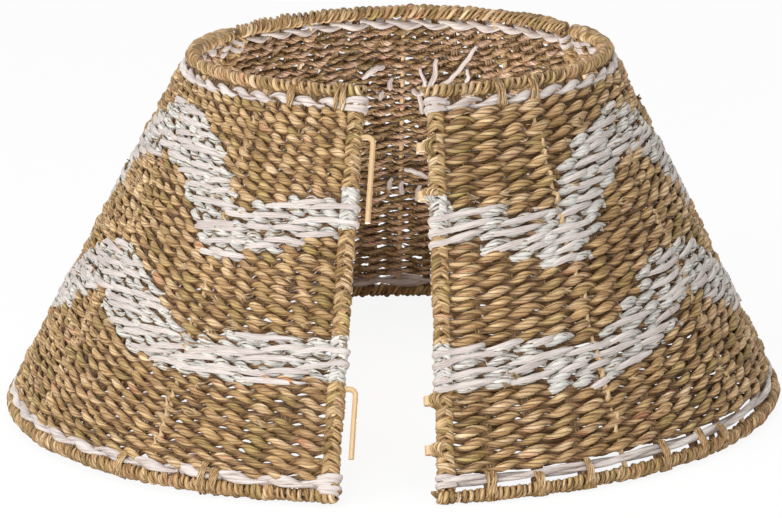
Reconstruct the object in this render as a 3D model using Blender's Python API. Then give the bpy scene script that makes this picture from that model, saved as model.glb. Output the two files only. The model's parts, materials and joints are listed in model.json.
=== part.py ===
"""Christmas tree collar: three woven seagrass panels hooked together into a cone.

Metres, +Z up, origin at the middle of the footprint on the floor. Each panel is a
welded wire frame with rows of seagrass twined round it, bound rims, two rows of
paper cord and two zigzag bands. The collar stands hooked at its two back seams
and a little open at the front seam.
"""
import math

import bmesh
import bpy
from mathutils import Matrix, Vector
from mathutils.geometry import intersect_ray_tri

# The cone, measured on the centre lines of the top and bottom rails. The hand-made
# frames stand a little out of true: the top ring is to the right of the bottom ring
BOTTOM_RADIUS = 0.292
TOP_RADIUS = 0.1565
RISE = 0.2743
TOP_DRIFT = 0.0095
PANEL_NAMES = ("right", "back", "left")
OPENING = math.radians(4.4)

# Steel wire frame
WIRE_RADIUS = 0.0022
WELD_GAP = 0.0003
STAKE_SHARES = (0.25, 0.5, 0.75)

# Sleeves on the eye stile, and the hooks that drop into them
SLEEVE_RADIUS = 0.0045
SLEEVE_BORE = 0.0031
SLEEVE_HEIGHT = 0.007
SLEEVE_PITCH = 0.037
UPPER_SLEEVE_DROP = 0.042
LOWEST_SLEEVE_RISE = 0.0348
ELBOW_RADIUS = 0.005
UPPER_PIN_LENGTH = 0.066
LOWER_PIN_LENGTH = 0.0525
PIN_CLEARANCE = 0.0006
SEAM_GAP = 0.0032

# Bound rims
RIM_RADIUS = 0.0063
RIB_DEPTH = 0.0007
RIM_RIBS = 16
FOOT_CUT = 0.0005

# Paper cord rows, threaded on the stakes like a row of the weave
CORD_HALF_HEIGHT = 0.0032
CORD_HALF_THICKNESS = 0.0047
BOTTOM_CORD_GAP = 0.0025

# Woven wall
WALL_HALF_THICKNESS = 0.0045
ROW_PITCH = 0.0087
ROW_GROOVE = 0.0013
EDGE_WRAP = 0.0047
SOFT_GAP = 0.0003
NOTCH_GAP = 0.0006

# Zigzag bands, stitched on the outside of the wall
BAND_HALF_WIDTH = 0.018
BAND_THICKNESS = 0.0022
BAND_GROOVE_SHARE = 0.45
BAND_CORDS = 3
UPPER_BAND_SHARES = (0.30, 0.33, 0.36, 0.385, 0.30, 0.21, 0.18)
LOWER_BAND_SHARE = 0.365

# Facets
COLUMNS = 12
WIRE_SIDES = 8
HIDDEN_SIDES = 6
RIM_SIDES = 8
SLEEVE_SIDES = 10
ELBOW_STEPS = 4
ROD_TURN = math.radians(17)
SHARP_ANGLE = math.radians(50)

HALF_PANEL = math.pi / len(PANEL_NAMES)
BOTTOM_HEIGHT = RIM_RADIUS - FOOT_CUT
TOP_HEIGHT = BOTTOM_HEIGHT + RISE
SLANT = math.hypot(RISE, BOTTOM_RADIUS - TOP_RADIUS)
FLARE = math.atan2(BOTTOM_RADIUS - TOP_RADIUS, RISE)
TUNNEL_RADIUS = WIRE_RADIUS + SOFT_GAP
LOWER_SLEEVE_DROP = SLANT - LOWEST_SLEEVE_RISE - SLEEVE_PITCH

# How far the two stiles of a seam stand from its hinge line: one carries the sleeves,
# and the other's wrapped edge clears them
EYE_STILE_REACH = SLEEVE_RADIUS + WELD_GAP + WIRE_RADIUS
HOOK_STILE_REACH = SLEEVE_RADIUS + SEAM_GAP + EDGE_WRAP

# The cord rows and the wall lie between the two bound rims
TOP_CORD_DROP = RIM_RADIUS + SOFT_GAP + CORD_HALF_HEIGHT
BOTTOM_CORD_DROP = SLANT - RIM_RADIUS - BOTTOM_CORD_GAP - CORD_HALF_HEIGHT
WALL_TOP = TOP_CORD_DROP + CORD_HALF_HEIGHT + SOFT_GAP
WALL_BOTTOM = BOTTOM_CORD_DROP - CORD_HALF_HEIGHT - SOFT_GAP

# An arm lies this far above the top of its sleeve, so that the elbow's inside
# curve clears the edge of the bore
ELBOW_INSIDE = ELBOW_RADIUS - WIRE_RADIUS - PIN_CLEARANCE
BORE_FLAT = SLEEVE_BORE * math.cos(math.pi / SLEEVE_SIDES)
ARM_LIFT = ELBOW_RADIUS - math.sqrt(ELBOW_INSIDE ** 2 - (ELBOW_RADIUS - BORE_FLAT) ** 2)


class Line:
    """A straight line down the cone, with the directions square to it.

    A point on it is given by its drop down the slant from the top rail and by
    its lift off the middle of the wall, outwards.
    """

    def __init__(self, top_bearing, bottom_bearing, overhang=0):
        top = cone_point(top_bearing, TOP_RADIUS, TOP_HEIGHT)
        bottom = cone_point(bottom_bearing, BOTTOM_RADIUS, BOTTOM_HEIGHT)
        middle = top + bottom
        self.across = Vector((-middle.y, middle.x, 0)).normalized()
        self.down = (bottom - top).normalized()
        self.out = self.down.cross(self.across).normalized()
        self.top = top + self.across * overhang

    def point(self, drop, lift=0):
        return self.top + self.down * drop + self.out * lift

    def matrix(self, drop):
        """Place for a piece whose own +Z runs up the slant and +Y inwards."""
        turn = Matrix((self.across, -self.out, -self.down)).transposed()
        return Matrix.Translation(self.point(drop)) @ turn.to_4x4()


def cone_point(bearing, radius, height):
    """Point at a bearing that is measured from the front, -Y, towards +X."""
    return Vector((radius * math.sin(bearing), -radius * math.cos(bearing), height))


def panel_line(share, overhang=0):
    """Line at a share of the panel, from its eye stile (0) to its hook stile (1)."""
    bearings = []
    for radius in (TOP_RADIUS, BOTTOM_RADIUS):
        eye = math.asin(EYE_STILE_REACH / radius) - HALF_PANEL
        hook = HALF_PANEL - math.asin(HOOK_STILE_REACH / radius)
        bearings.append(eye + (hook - eye) * share)
    return Line(*bearings, overhang)


def seam_line(side):
    """Hinge line of the seam at the panel's eye side (-1) or hook side (1)."""
    return Line(side * HALF_PANEL, side * HALF_PANEL)


def panel_lines(steps, overhang):
    """Lines across the whole panel, the first and last a little past the stiles."""
    inner = [panel_line(step / steps) for step in range(1, steps)]
    return [panel_line(0, -overhang)] + inner + [panel_line(1, overhang)]


def round_profile(drop, half_drop, half_lift, sides):
    """Round or oval outline whose lowest corner hangs straight down at rest."""
    turns = [math.tau * side / sides - FLARE for side in range(sides)]
    return [(drop + half_drop * math.cos(a), half_lift * math.sin(a)) for a in turns]


def loft(lines, profiles):
    """Closed mesh that runs through one outline on each line."""
    mesh = bmesh.new()
    rings = []
    for line, profile in zip(lines, profiles):
        rings.append([mesh.verts.new(line.point(drop, lift)) for drop, lift in profile])
    for before, after in zip(rings, rings[1:]):
        for i, corner in enumerate(before):
            mesh.faces.new((before[i - 1], corner, after[i], after[i - 1]))
    mesh.faces.new(rings[0])
    mesh.faces.new(rings[-1])
    bmesh.ops.recalc_face_normals(mesh, faces=mesh.faces)
    return mesh


def finished(mesh, name):
    """Turn a bmesh into smooth-shaded mesh data with crisp corners."""
    data = bpy.data.meshes.new(name)
    mesh.to_mesh(data)
    mesh.free()
    data.shade_smooth()
    data.set_sharp_from_angle(angle=SHARP_ANGLE)
    return data


def cut(data, cutters):
    """Mesh data less each cutter, by exact Booleans that are applied here."""
    flat = bmesh.new()
    flat.from_mesh(data)
    bmesh.ops.triangulate(flat, faces=flat.faces)
    flat.to_mesh(data)
    flat.free()
    blank = bpy.data.objects.new(data.name, data)
    bpy.context.collection.objects.link(blank)
    helpers = []
    for cutter in cutters:
        helper = bpy.data.objects.new("cutter", cutter)
        bpy.context.collection.objects.link(helper)
        boolean = blank.modifiers.new("cut", "BOOLEAN")
        boolean.operation = "DIFFERENCE"
        boolean.solver = "EXACT"
        boolean.object = helper
        helpers.append(helper)
    evaluated = blank.evaluated_get(bpy.context.evaluated_depsgraph_get())
    result = bpy.data.meshes.new_from_object(evaluated)
    for helper in helpers + [blank]:
        bpy.data.objects.remove(helper)
    result.name = data.name
    return result


def rail(name, drop, radius):
    """Wire along a rim, from just past one stile to just past the other."""
    lines = panel_lines(COLUMNS, WIRE_RADIUS)
    profile = round_profile(drop, radius, radius, HIDDEN_SIDES)
    return finished(loft(lines, [profile] * len(lines)), name)


def rod(name, share, radius, gap):
    """Straight wire down the panel, between the two rails."""
    line = panel_line(share)
    mesh = bmesh.new()
    place = line.matrix(SLANT / 2) @ Matrix.Rotation(ROD_TURN, 4, "Z")
    bmesh.ops.create_cone(mesh, cap_ends=True, segments=HIDDEN_SIDES, radius1=radius,
                          radius2=radius, depth=SLANT - 2 * gap, matrix=place)
    return finished(mesh, name)


def frame_cutters():
    """The wire frame with the soft clearance round it, to thread the weave on."""
    shares = (0,) + STAKE_SHARES + (1,)
    rods = [rod("rod_cutter", share, TUNNEL_RADIUS, 0) for share in shares]
    rails = [rail("rail_cutter", drop, TUNNEL_RADIUS) for drop in (0, SLANT)]
    return rods, rails


def binding(name, drop, cutters):
    """Seagrass bound round a rail, ribbed by its turns."""
    lines = panel_lines(2 * RIM_RIBS, EDGE_WRAP)
    full = round_profile(drop, RIM_RADIUS, RIM_RADIUS, RIM_SIDES)
    slim_radius = RIM_RADIUS - RIB_DEPTH
    slim = round_profile(drop, slim_radius, slim_radius, RIM_SIDES)
    profiles = [full if index % 2 else slim for index in range(len(lines))]
    mesh = loft(lines, profiles)
    geometry = mesh.verts[:] + mesh.edges[:] + mesh.faces[:]
    sliced = bmesh.ops.bisect_plane(mesh, geom=geometry, plane_co=(0, 0, 0),
                                    plane_no=(0, 0, 1), clear_inner=True)
    rim = [item for item in sliced["geom_cut"] if isinstance(item, bmesh.types.BMEdge)]
    if rim:
        bmesh.ops.holes_fill(mesh, edges=rim, sides=0)
        bmesh.ops.recalc_face_normals(mesh, faces=mesh.faces)
    return cut(finished(mesh, name), cutters)


def cord_row(name, drop, cutters):
    """Row of paper cord that is threaded on the stiles and stakes."""
    lines = panel_lines(COLUMNS, EDGE_WRAP)
    profile = round_profile(drop, CORD_HALF_HEIGHT, CORD_HALF_THICKNESS, HIDDEN_SIDES)
    return cut(finished(loft(lines, [profile] * len(lines)), name), cutters)


def woven_wall(name, cutters):
    """Rows of twined seagrass: rounded ridges outside, one face inside."""
    rows = max(1, round((WALL_BOTTOM - WALL_TOP) / ROW_PITCH))
    pitch = (WALL_BOTTOM - WALL_TOP) / rows
    profile = [(WALL_BOTTOM, -WALL_HALF_THICKNESS), (WALL_TOP, -WALL_HALF_THICKNESS)]
    for row in range(rows):
        start = WALL_TOP + row * pitch
        profile.append((start, WALL_HALF_THICKNESS - ROW_GROOVE))
        profile.append((start + pitch / 2, WALL_HALF_THICKNESS))
    profile.append((WALL_BOTTOM, WALL_HALF_THICKNESS - ROW_GROOVE))
    lines = panel_lines(COLUMNS, EDGE_WRAP)
    return cut(finished(loft(lines, [profile] * len(lines)), name), cutters)


def zigzag(name, share):
    """Band of stitched cords on the outside: low at the edges, a peak between."""
    shares = UPPER_BAND_SHARES + UPPER_BAND_SHARES[-2::-1]
    base = WALL_HALF_THICKNESS + SOFT_GAP
    outline = [(-BAND_HALF_WIDTH, base), (BAND_HALF_WIDTH, base)]
    steps = 2 * BAND_CORDS
    for step in range(steps + 1):
        drop = BAND_HALF_WIDTH * (1 - 2 * step / steps)
        height = 1 if step % 2 else BAND_GROOVE_SHARE
        outline.append((drop, base + BAND_THICKNESS * height))
    profiles = []
    for place in shares:
        middle = (place + share) * SLANT
        profiles.append([(middle + drop, lift) for drop, lift in outline])
    return finished(loft(panel_lines(COLUMNS, EDGE_WRAP), profiles), name)


def sleeve(name):
    """Short length of tube that a pin drops into, turned about its own axis."""
    mesh = bmesh.new()
    half = SLEEVE_HEIGHT / 2
    outline = [(SLEEVE_BORE, -half), (SLEEVE_RADIUS, -half), (SLEEVE_RADIUS, half),
               (SLEEVE_BORE, half)]
    corners = [mesh.verts.new((radius, 0, height)) for radius, height in outline]
    edges = [mesh.edges.new((corners[i - 1], corners[i])) for i in range(len(corners))]
    bmesh.ops.spin(mesh, geom=corners + edges, cent=(0, 0, 0), axis=(0, 0, 1),
                   angle=math.tau, steps=SLEEVE_SIDES, use_merge=True)
    bmesh.ops.recalc_face_normals(mesh, faces=mesh.faces)
    return finished(mesh, name)


def hook(name, pin_length):
    """Arm from the hook stile, an elbow, and a pin down the hinge line.

    Its own origin is on the hinge line at the height of the arm.
    """
    start = WIRE_RADIUS + WELD_GAP - HOOK_STILE_REACH
    points = [Vector((start, 0, 0))]
    for step in range(ELBOW_STEPS + 1):
        turn = math.pi / 2 * step / ELBOW_STEPS
        points.append(Vector((ELBOW_RADIUS * (math.sin(turn) - 1), 0,
                              ELBOW_RADIUS * (math.cos(turn) - 1))))
    points.append(Vector((0, 0, -pin_length)))
    mesh = bmesh.new()
    rings = []
    for index, point in enumerate(points):
        before = points[max(index - 1, 0)]
        after = points[min(index + 1, len(points) - 1)]
        along = (after - before).normalized()
        normal = Vector((0, 1, 0)).cross(along)
        ring = []
        for side in range(WIRE_SIDES):
            turn = math.tau * (side + 0.5) / WIRE_SIDES
            sideways = Vector((0, 1, 0)) * math.sin(turn) + normal * math.cos(turn)
            ring.append(mesh.verts.new(point + sideways * WIRE_RADIUS))
        rings.append(ring)
    for before, after in zip(rings, rings[1:]):
        for i, corner in enumerate(before):
            mesh.faces.new((before[i - 1], corner, after[i], after[i - 1]))
    mesh.faces.new(rings[0])
    mesh.faces.new(rings[-1])
    bmesh.ops.recalc_face_normals(mesh, faces=mesh.faces)
    return finished(mesh, name)


def sleeve_drops():
    """Drops of the four sleeve middles down the seam."""
    return [first + extra for first in (UPPER_SLEEVE_DROP, LOWER_SLEEVE_DROP)
            for extra in (0, SLEEVE_PITCH)]


def arm_drop(first_sleeve_drop):
    """Drop of a hook's arm, which rides over the upper sleeve of its pair."""
    return first_sleeve_drop - SLEEVE_HEIGHT / 2 - ARM_LIFT


def notch(side, reach, top, bottom):
    """Block that clears the wall's edge from the hinge line to the stile's middle."""
    mesh = bmesh.new()
    place = seam_line(side).matrix((top + bottom) / 2)
    inwards = Matrix.Translation((-side * reach / 2, 0, 0))
    size = Matrix.Diagonal((reach, 4 * WALL_HALF_THICKNESS, bottom - top, 1))
    bmesh.ops.create_cube(mesh, size=1, matrix=place @ inwards @ size)
    return finished(mesh, "notch_cutter")


def edge_notches():
    """Notches for the four sleeves, with the arms over two of them, and for two arms."""
    half = SLEEVE_HEIGHT / 2 + NOTCH_GAP
    over = WIRE_RADIUS + NOTCH_GAP
    notches = [notch(-1, EYE_STILE_REACH, drop - half, drop + half) for drop in sleeve_drops()]
    for drop in (UPPER_SLEEVE_DROP, LOWER_SLEEVE_DROP):
        arm = arm_drop(drop)
        notches.append(notch(-1, EYE_STILE_REACH, arm - over, drop))
        notches.append(notch(1, HOOK_STILE_REACH, arm - over, arm + over))
    return notches


def material(name, colour, roughness, metallic):
    """Plain finish for one kind of piece."""
    made = bpy.data.materials.new(name)
    made.use_nodes = True
    shader = made.node_tree.nodes["Principled BSDF"]
    shader.inputs["Base Color"].default_value = (*colour, 1)
    shader.inputs["Roughness"].default_value = roughness
    shader.inputs["Metallic"].default_value = metallic
    return made


def panel_kit():
    """Every piece of one panel: name, mesh data, finish and place in the panel."""
    seagrass = material("natural_seagrass", (0.42, 0.28, 0.13), 0.75, 0)
    cord = material("white_paper_cord", (0.78, 0.73, 0.69), 0.8, 0)
    paint = material("white_painted_seagrass", (0.74, 0.76, 0.76), 0.6, 0)
    steel = material("straw_powder_coated_steel", (0.76, 0.52, 0.22), 0.4, 0)
    rods, rails = frame_cutters()
    still = Matrix.Identity(4)
    kit = [("top_rail", rail("top_rail", 0, WIRE_RADIUS), steel, still),
           ("bottom_rail", rail("bottom_rail", SLANT, WIRE_RADIUS), steel, still)]
    seat = WIRE_RADIUS + WELD_GAP
    kit.append(("eye_stile", rod("eye_stile", 0, WIRE_RADIUS, seat), steel, still))
    kit.append(("hook_stile", rod("hook_stile", 1, WIRE_RADIUS, seat), steel, still))
    for number, share in enumerate(STAKE_SHARES, 1):
        name = f"stake_{number}"
        kit.append((name, rod(name, share, WIRE_RADIUS, seat), steel, still))
    tube = sleeve("sleeve")
    for number, drop in enumerate(sleeve_drops(), 1):
        kit.append((f"sleeve_{number}", tube, steel, seam_line(-1).matrix(drop)))
    for name, drop, length in (("upper_hook", UPPER_SLEEVE_DROP, UPPER_PIN_LENGTH),
                               ("lower_hook", LOWER_SLEEVE_DROP, LOWER_PIN_LENGTH)):
        kit.append((name, hook(name, length), steel, seam_line(1).matrix(arm_drop(drop))))
    kit.append(("top_binding", binding("top_binding", 0, rods + rails), seagrass, still))
    kit.append(("bottom_binding", binding("bottom_binding", SLANT, rods + rails), seagrass,
                still))
    kit.append(("woven_wall", woven_wall("woven_wall", rods + edge_notches()), seagrass, still))
    kit.append(("top_cord", cord_row("top_cord", TOP_CORD_DROP, rods), cord, still))
    kit.append(("bottom_cord", cord_row("bottom_cord", BOTTOM_CORD_DROP, rods), cord, still))
    kit.append(("upper_zigzag", zigzag("upper_zigzag", 0), paint, still))
    kit.append(("lower_zigzag", zigzag("lower_zigzag", LOWER_BAND_SHARE), paint, still))
    return kit


def drift():
    """Matrix of a shift to the right that grows with the height over the bottom rail."""
    matrix = Matrix.Identity(4)
    matrix[0][2] = TOP_DRIFT / RISE
    matrix[0][3] = -matrix[0][2] * BOTTOM_HEIGHT
    return matrix


def drifted(data, place):
    """Copy of a piece's mesh, carried along with the drift at its place in the collar."""
    copy = data.copy()
    copy.transform(place.inverted() @ drift() @ place)
    return copy


def hinge_place(bearing):
    """Place at the foot of a seam's hinge line, with +Z up the line as it drifts."""
    foot = drift() @ cone_point(bearing, BOTTOM_RADIUS, BOTTOM_HEIGHT)
    head = drift() @ cone_point(bearing, TOP_RADIUS, TOP_HEIGHT)
    turn = (head - foot).to_track_quat("Z", "Y")
    return Matrix.Translation(foot) @ turn.to_matrix().to_4x4()


def empty(name, parent, matrix):
    """Empty that carries a panel or stands on a hinge line."""
    made = bpy.data.objects.new(name, None)
    bpy.context.collection.objects.link(made)
    made.parent = parent
    made.matrix_basis = matrix
    return made


def panel_frames():
    """Empties that carry the panels, the side ones on their hinge lines."""
    stand = empty("collar_stand", None, Matrix.Identity(4))
    homes = {name: Matrix.Rotation(HALF_PANEL * (2 * index + 1), 4, "Z")
             for index, name in enumerate(PANEL_NAMES)}
    frames = {"back": empty("back_frame", stand, homes["back"])}
    for name, edge in (("right", 1), ("left", -1)):
        hinge = hinge_place(math.pi - edge * HALF_PANEL)
        swing = Matrix.Rotation(edge * OPENING, 4, "Z")
        axis = empty(f"{name}_hinge", stand, hinge @ swing)
        frames[name] = empty(f"{name}_frame", axis, hinge.inverted() @ homes[name])
    return stand, frames, homes


def world_corners(objects):
    """Corners of the evaluated meshes, in world space."""
    graph = bpy.context.evaluated_depsgraph_get()
    for item in objects:
        mesh = item.evaluated_get(graph).data
        for vertex in mesh.vertices:
            yield item.matrix_world @ vertex.co


def settle(stand, feet, everything):
    """Turn the open collar on to the feet under its middle, then centre it on the floor.

    The hinge lines slant inwards, so an open side panel lifts its front corner,
    and the collar leans forwards until that corner stands.
    """
    bpy.context.view_layer.update()
    corners = list(world_corners(feet))
    middle = sum(corners, Vector()) / len(corners)
    hull = bmesh.new()
    for corner in corners:
        hull.verts.new(corner)
    bmesh.ops.convex_hull(hull, input=hull.verts)
    bmesh.ops.triangulate(hull, faces=hull.faces)
    down = Vector((0, 0, -1))
    under = down
    for face in hull.faces:
        outline = [corner.co for corner in face.verts]
        if face.normal.z < 0 and intersect_ray_tri(*outline, down, middle):
            under = face.normal.copy()
    hull.free()
    stand.matrix_basis = under.rotation_difference(down).to_matrix().to_4x4()
    bpy.context.view_layer.update()
    corners = list(world_corners(everything))
    low = Vector([min(c[axis] for c in corners) for axis in range(3)])
    high = Vector([max(c[axis] for c in corners) for axis in range(3)])
    shift = Vector((-(low.x + high.x) / 2, -(low.y + high.y) / 2, -low.z))
    stand.matrix_basis = Matrix.Translation(shift) @ stand.matrix_basis
    bpy.context.view_layer.update()


def build():
    """Three panels, each from the same kit of pieces and drifted with the collar."""
    for item in list(bpy.data.objects):
        bpy.data.objects.remove(item)
    stand, frames, homes = panel_frames()
    feet, everything = [], []
    for kit_name, data, finish, place in panel_kit():
        data.materials.clear()
        data.materials.append(finish)
        for panel, frame in frames.items():
            shape = drifted(data, homes[panel] @ place)
            piece = bpy.data.objects.new(f"{panel}_{kit_name}", shape)
            bpy.context.collection.objects.link(piece)
            piece.parent = frame
            piece.matrix_basis = place
            everything.append(piece)
            if kit_name == "bottom_binding":
                feet.append(piece)
    settle(stand, feet, everything)


build()
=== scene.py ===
"""Christmas tree collar: the woven seagrass, paper cord and finishes round its CAD frame.

Each of the three panels is a wire frame that the CAD part gives. This script winds and
weaves the real strands on that frame. Every strand is first laid out on a flat panel,
where X runs to the right along the wall, Y runs inwards and Z runs up the slant, and
then carried on to the cone of the collar. All lengths are in metres.
"""
import json
import logging
import math
import random
from dataclasses import dataclass, field
from enum import Enum
from typing import Callable, Iterable, Sequence

import bmesh
import bpy
import numpy as np
from bpy.types import ID, Material, Mesh, Node, NodeSocket, NodeTree, Object
from mathutils import Matrix, Vector


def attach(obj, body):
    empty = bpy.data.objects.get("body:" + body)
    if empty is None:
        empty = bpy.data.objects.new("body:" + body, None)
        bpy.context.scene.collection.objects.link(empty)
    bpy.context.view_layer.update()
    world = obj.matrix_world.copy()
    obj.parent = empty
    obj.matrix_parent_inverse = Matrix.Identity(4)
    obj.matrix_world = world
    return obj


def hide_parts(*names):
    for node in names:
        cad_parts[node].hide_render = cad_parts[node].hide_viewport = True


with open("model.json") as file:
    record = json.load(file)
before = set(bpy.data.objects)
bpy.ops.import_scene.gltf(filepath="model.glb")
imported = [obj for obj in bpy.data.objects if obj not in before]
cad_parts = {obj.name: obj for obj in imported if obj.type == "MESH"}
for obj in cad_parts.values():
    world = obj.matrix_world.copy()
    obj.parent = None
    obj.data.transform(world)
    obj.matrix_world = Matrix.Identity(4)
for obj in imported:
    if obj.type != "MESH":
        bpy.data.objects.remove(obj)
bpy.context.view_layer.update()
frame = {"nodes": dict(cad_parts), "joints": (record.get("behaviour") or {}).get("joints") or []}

LOG = logging.getLogger("collar")
Reals = np.ndarray | float

MATH = "ShaderNodeMath"
VECTOR = "ShaderNodeVectorMath"
COMBINE = "ShaderNodeCombineXYZ"
SEPARATE = "ShaderNodeSeparateXYZ"
NOISE = "ShaderNodeTexNoise"
ATTRIBUTE = "ShaderNodeAttribute"
RAMP = "ShaderNodeValToRGB"
MIX = "ShaderNodeMix"
MAP_RANGE = "ShaderNodeMapRange"
STORE = "GeometryNodeStoreNamedAttribute"
NAMED = "GeometryNodeInputNamedAttribute"
SPLINE = "GeometryNodeSplineParameter"
SET_POSITION = "GeometryNodeSetPosition"
RANDOM = "FunctionNodeRandomValue"
WHITE = (1.0, 1.0, 1.0, 1.0)

# Sockets that share a name go by number. Map Range maps 1 and 2 to 3 and 4. Random Value has
# its ends in 0 and 1 for vectors or 2 and 3 for numbers, its ID in 7 and its seed in 8. Mix
# has its two colours in 6 and 7.


def linear(colour: str) -> tuple[float, float, float, float]:
    """Turn an sRGB hex colour into a linear one with full alpha.

    Args:
        colour: Six hex digits after a hash.

    Returns:
        Red, green, blue and alpha.
    """
    parts = [int(colour[i:i + 2], 16) / 255 for i in (1, 3, 5)]
    return (*[p / 12.92 if p <= 0.04045 else ((p + 0.055) / 1.055) ** 2.4 for p in parts], 1.0)


def add_node(tree: NodeTree, kind: str, inputs: object = (), stops: Sequence = (),
             **settings: object) -> Node:
    """Add one node to a tree, with its settings, input values and links.

    Args:
        tree: The tree that the node joins.
        kind: Blender's name for the node type.
        inputs: Values in socket order, or a dict from socket name or number to value.
            A node stands for its first output.
        stops: Positions and hex colours, for a colour ramp.
        settings: Properties of the node.

    Returns:
        The new node.
    """
    node = tree.nodes.new(kind)
    for name, value in settings.items():
        setattr(node, name, value)
    if stops:
        band = node.color_ramp.elements
        while len(band) < len(stops):
            band.new(0.5)
        for element, (position, colour) in zip(band, stops):
            element.position = position
            element.color = linear(colour)
    pairs = inputs.items() if isinstance(inputs, dict) else enumerate(inputs)
    for key, value in pairs:
        if isinstance(value, Node):
            value = value.outputs[0]
        if isinstance(value, NodeSocket):
            tree.links.new(value, node.inputs[key])
        else:
            node.inputs[key].default_value = value
    return node


def work_out(tree: NodeTree, known: dict, steps: Sequence[tuple]) -> None:
    """Add a chain of arithmetic to a tree, one node for each step.

    Args:
        tree: The tree that the nodes join.
        known: Nodes and sockets by name. Each step adds its own result.
        steps: The name of each result, its operation and its operands, which are numbers
            or names in known.
    """
    for name, operation, *operands in steps:
        values = [known[value] if isinstance(value, str) else value for value in operands]
        known[name] = add_node(tree, MATH, values, operation=operation)


def added(name: str, data: ID) -> Object:
    """Add an object to the scene.

    Args:
        name: Its name.
        data: Its mesh, camera or lamp.

    Returns:
        The new object.
    """
    thing = bpy.data.objects.new(name, data)
    bpy.context.collection.objects.link(thing)
    return thing


def read(items: object, name: str, width: int = 1, kind: type = float) -> np.ndarray:
    """Read one property of all points, corners, faces or attribute values of a mesh.

    Args:
        items: The mesh's collection of them.
        name: The property.
        width: Numbers in each value.
        kind: Type of the numbers.

    Returns:
        One value for each item, or one row where values have more than one number.
    """
    values = np.zeros(len(items) * width, kind)
    items.foreach_get(name, values)
    return values.reshape(-1, width) if width > 1 else values


# Finishes


@dataclass(frozen=True)
class Finish:
    """A finish on the Principled shader, whose colour and relief its subclass gives."""

    name: str
    roughness: float = 0.5
    bump: float = 0.8
    bump_depth: float = 0.0010

    def surface(self, tree: NodeTree) -> tuple:
        """Colour and height of the surface, as sockets or nodes of the tree."""
        raise NotImplementedError

    def make(self) -> Material:
        """Build the material.

        Returns:
            The finished material.
        """
        material = bpy.data.materials.new(self.name)
        material.use_nodes = True
        tree = material.node_tree
        shader = tree.nodes["Principled BSDF"]
        colour, height = self.surface(tree)
        rib = add_node(tree, "ShaderNodeBump", {"Strength": self.bump, "Height": height,
                                                "Distance": self.bump_depth})
        tree.links.new(colour, shader.inputs["Base Color"])
        tree.links.new(rib.outputs[0], shader.inputs["Normal"])
        shader.inputs["Roughness"].default_value = self.roughness
        return material


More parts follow.
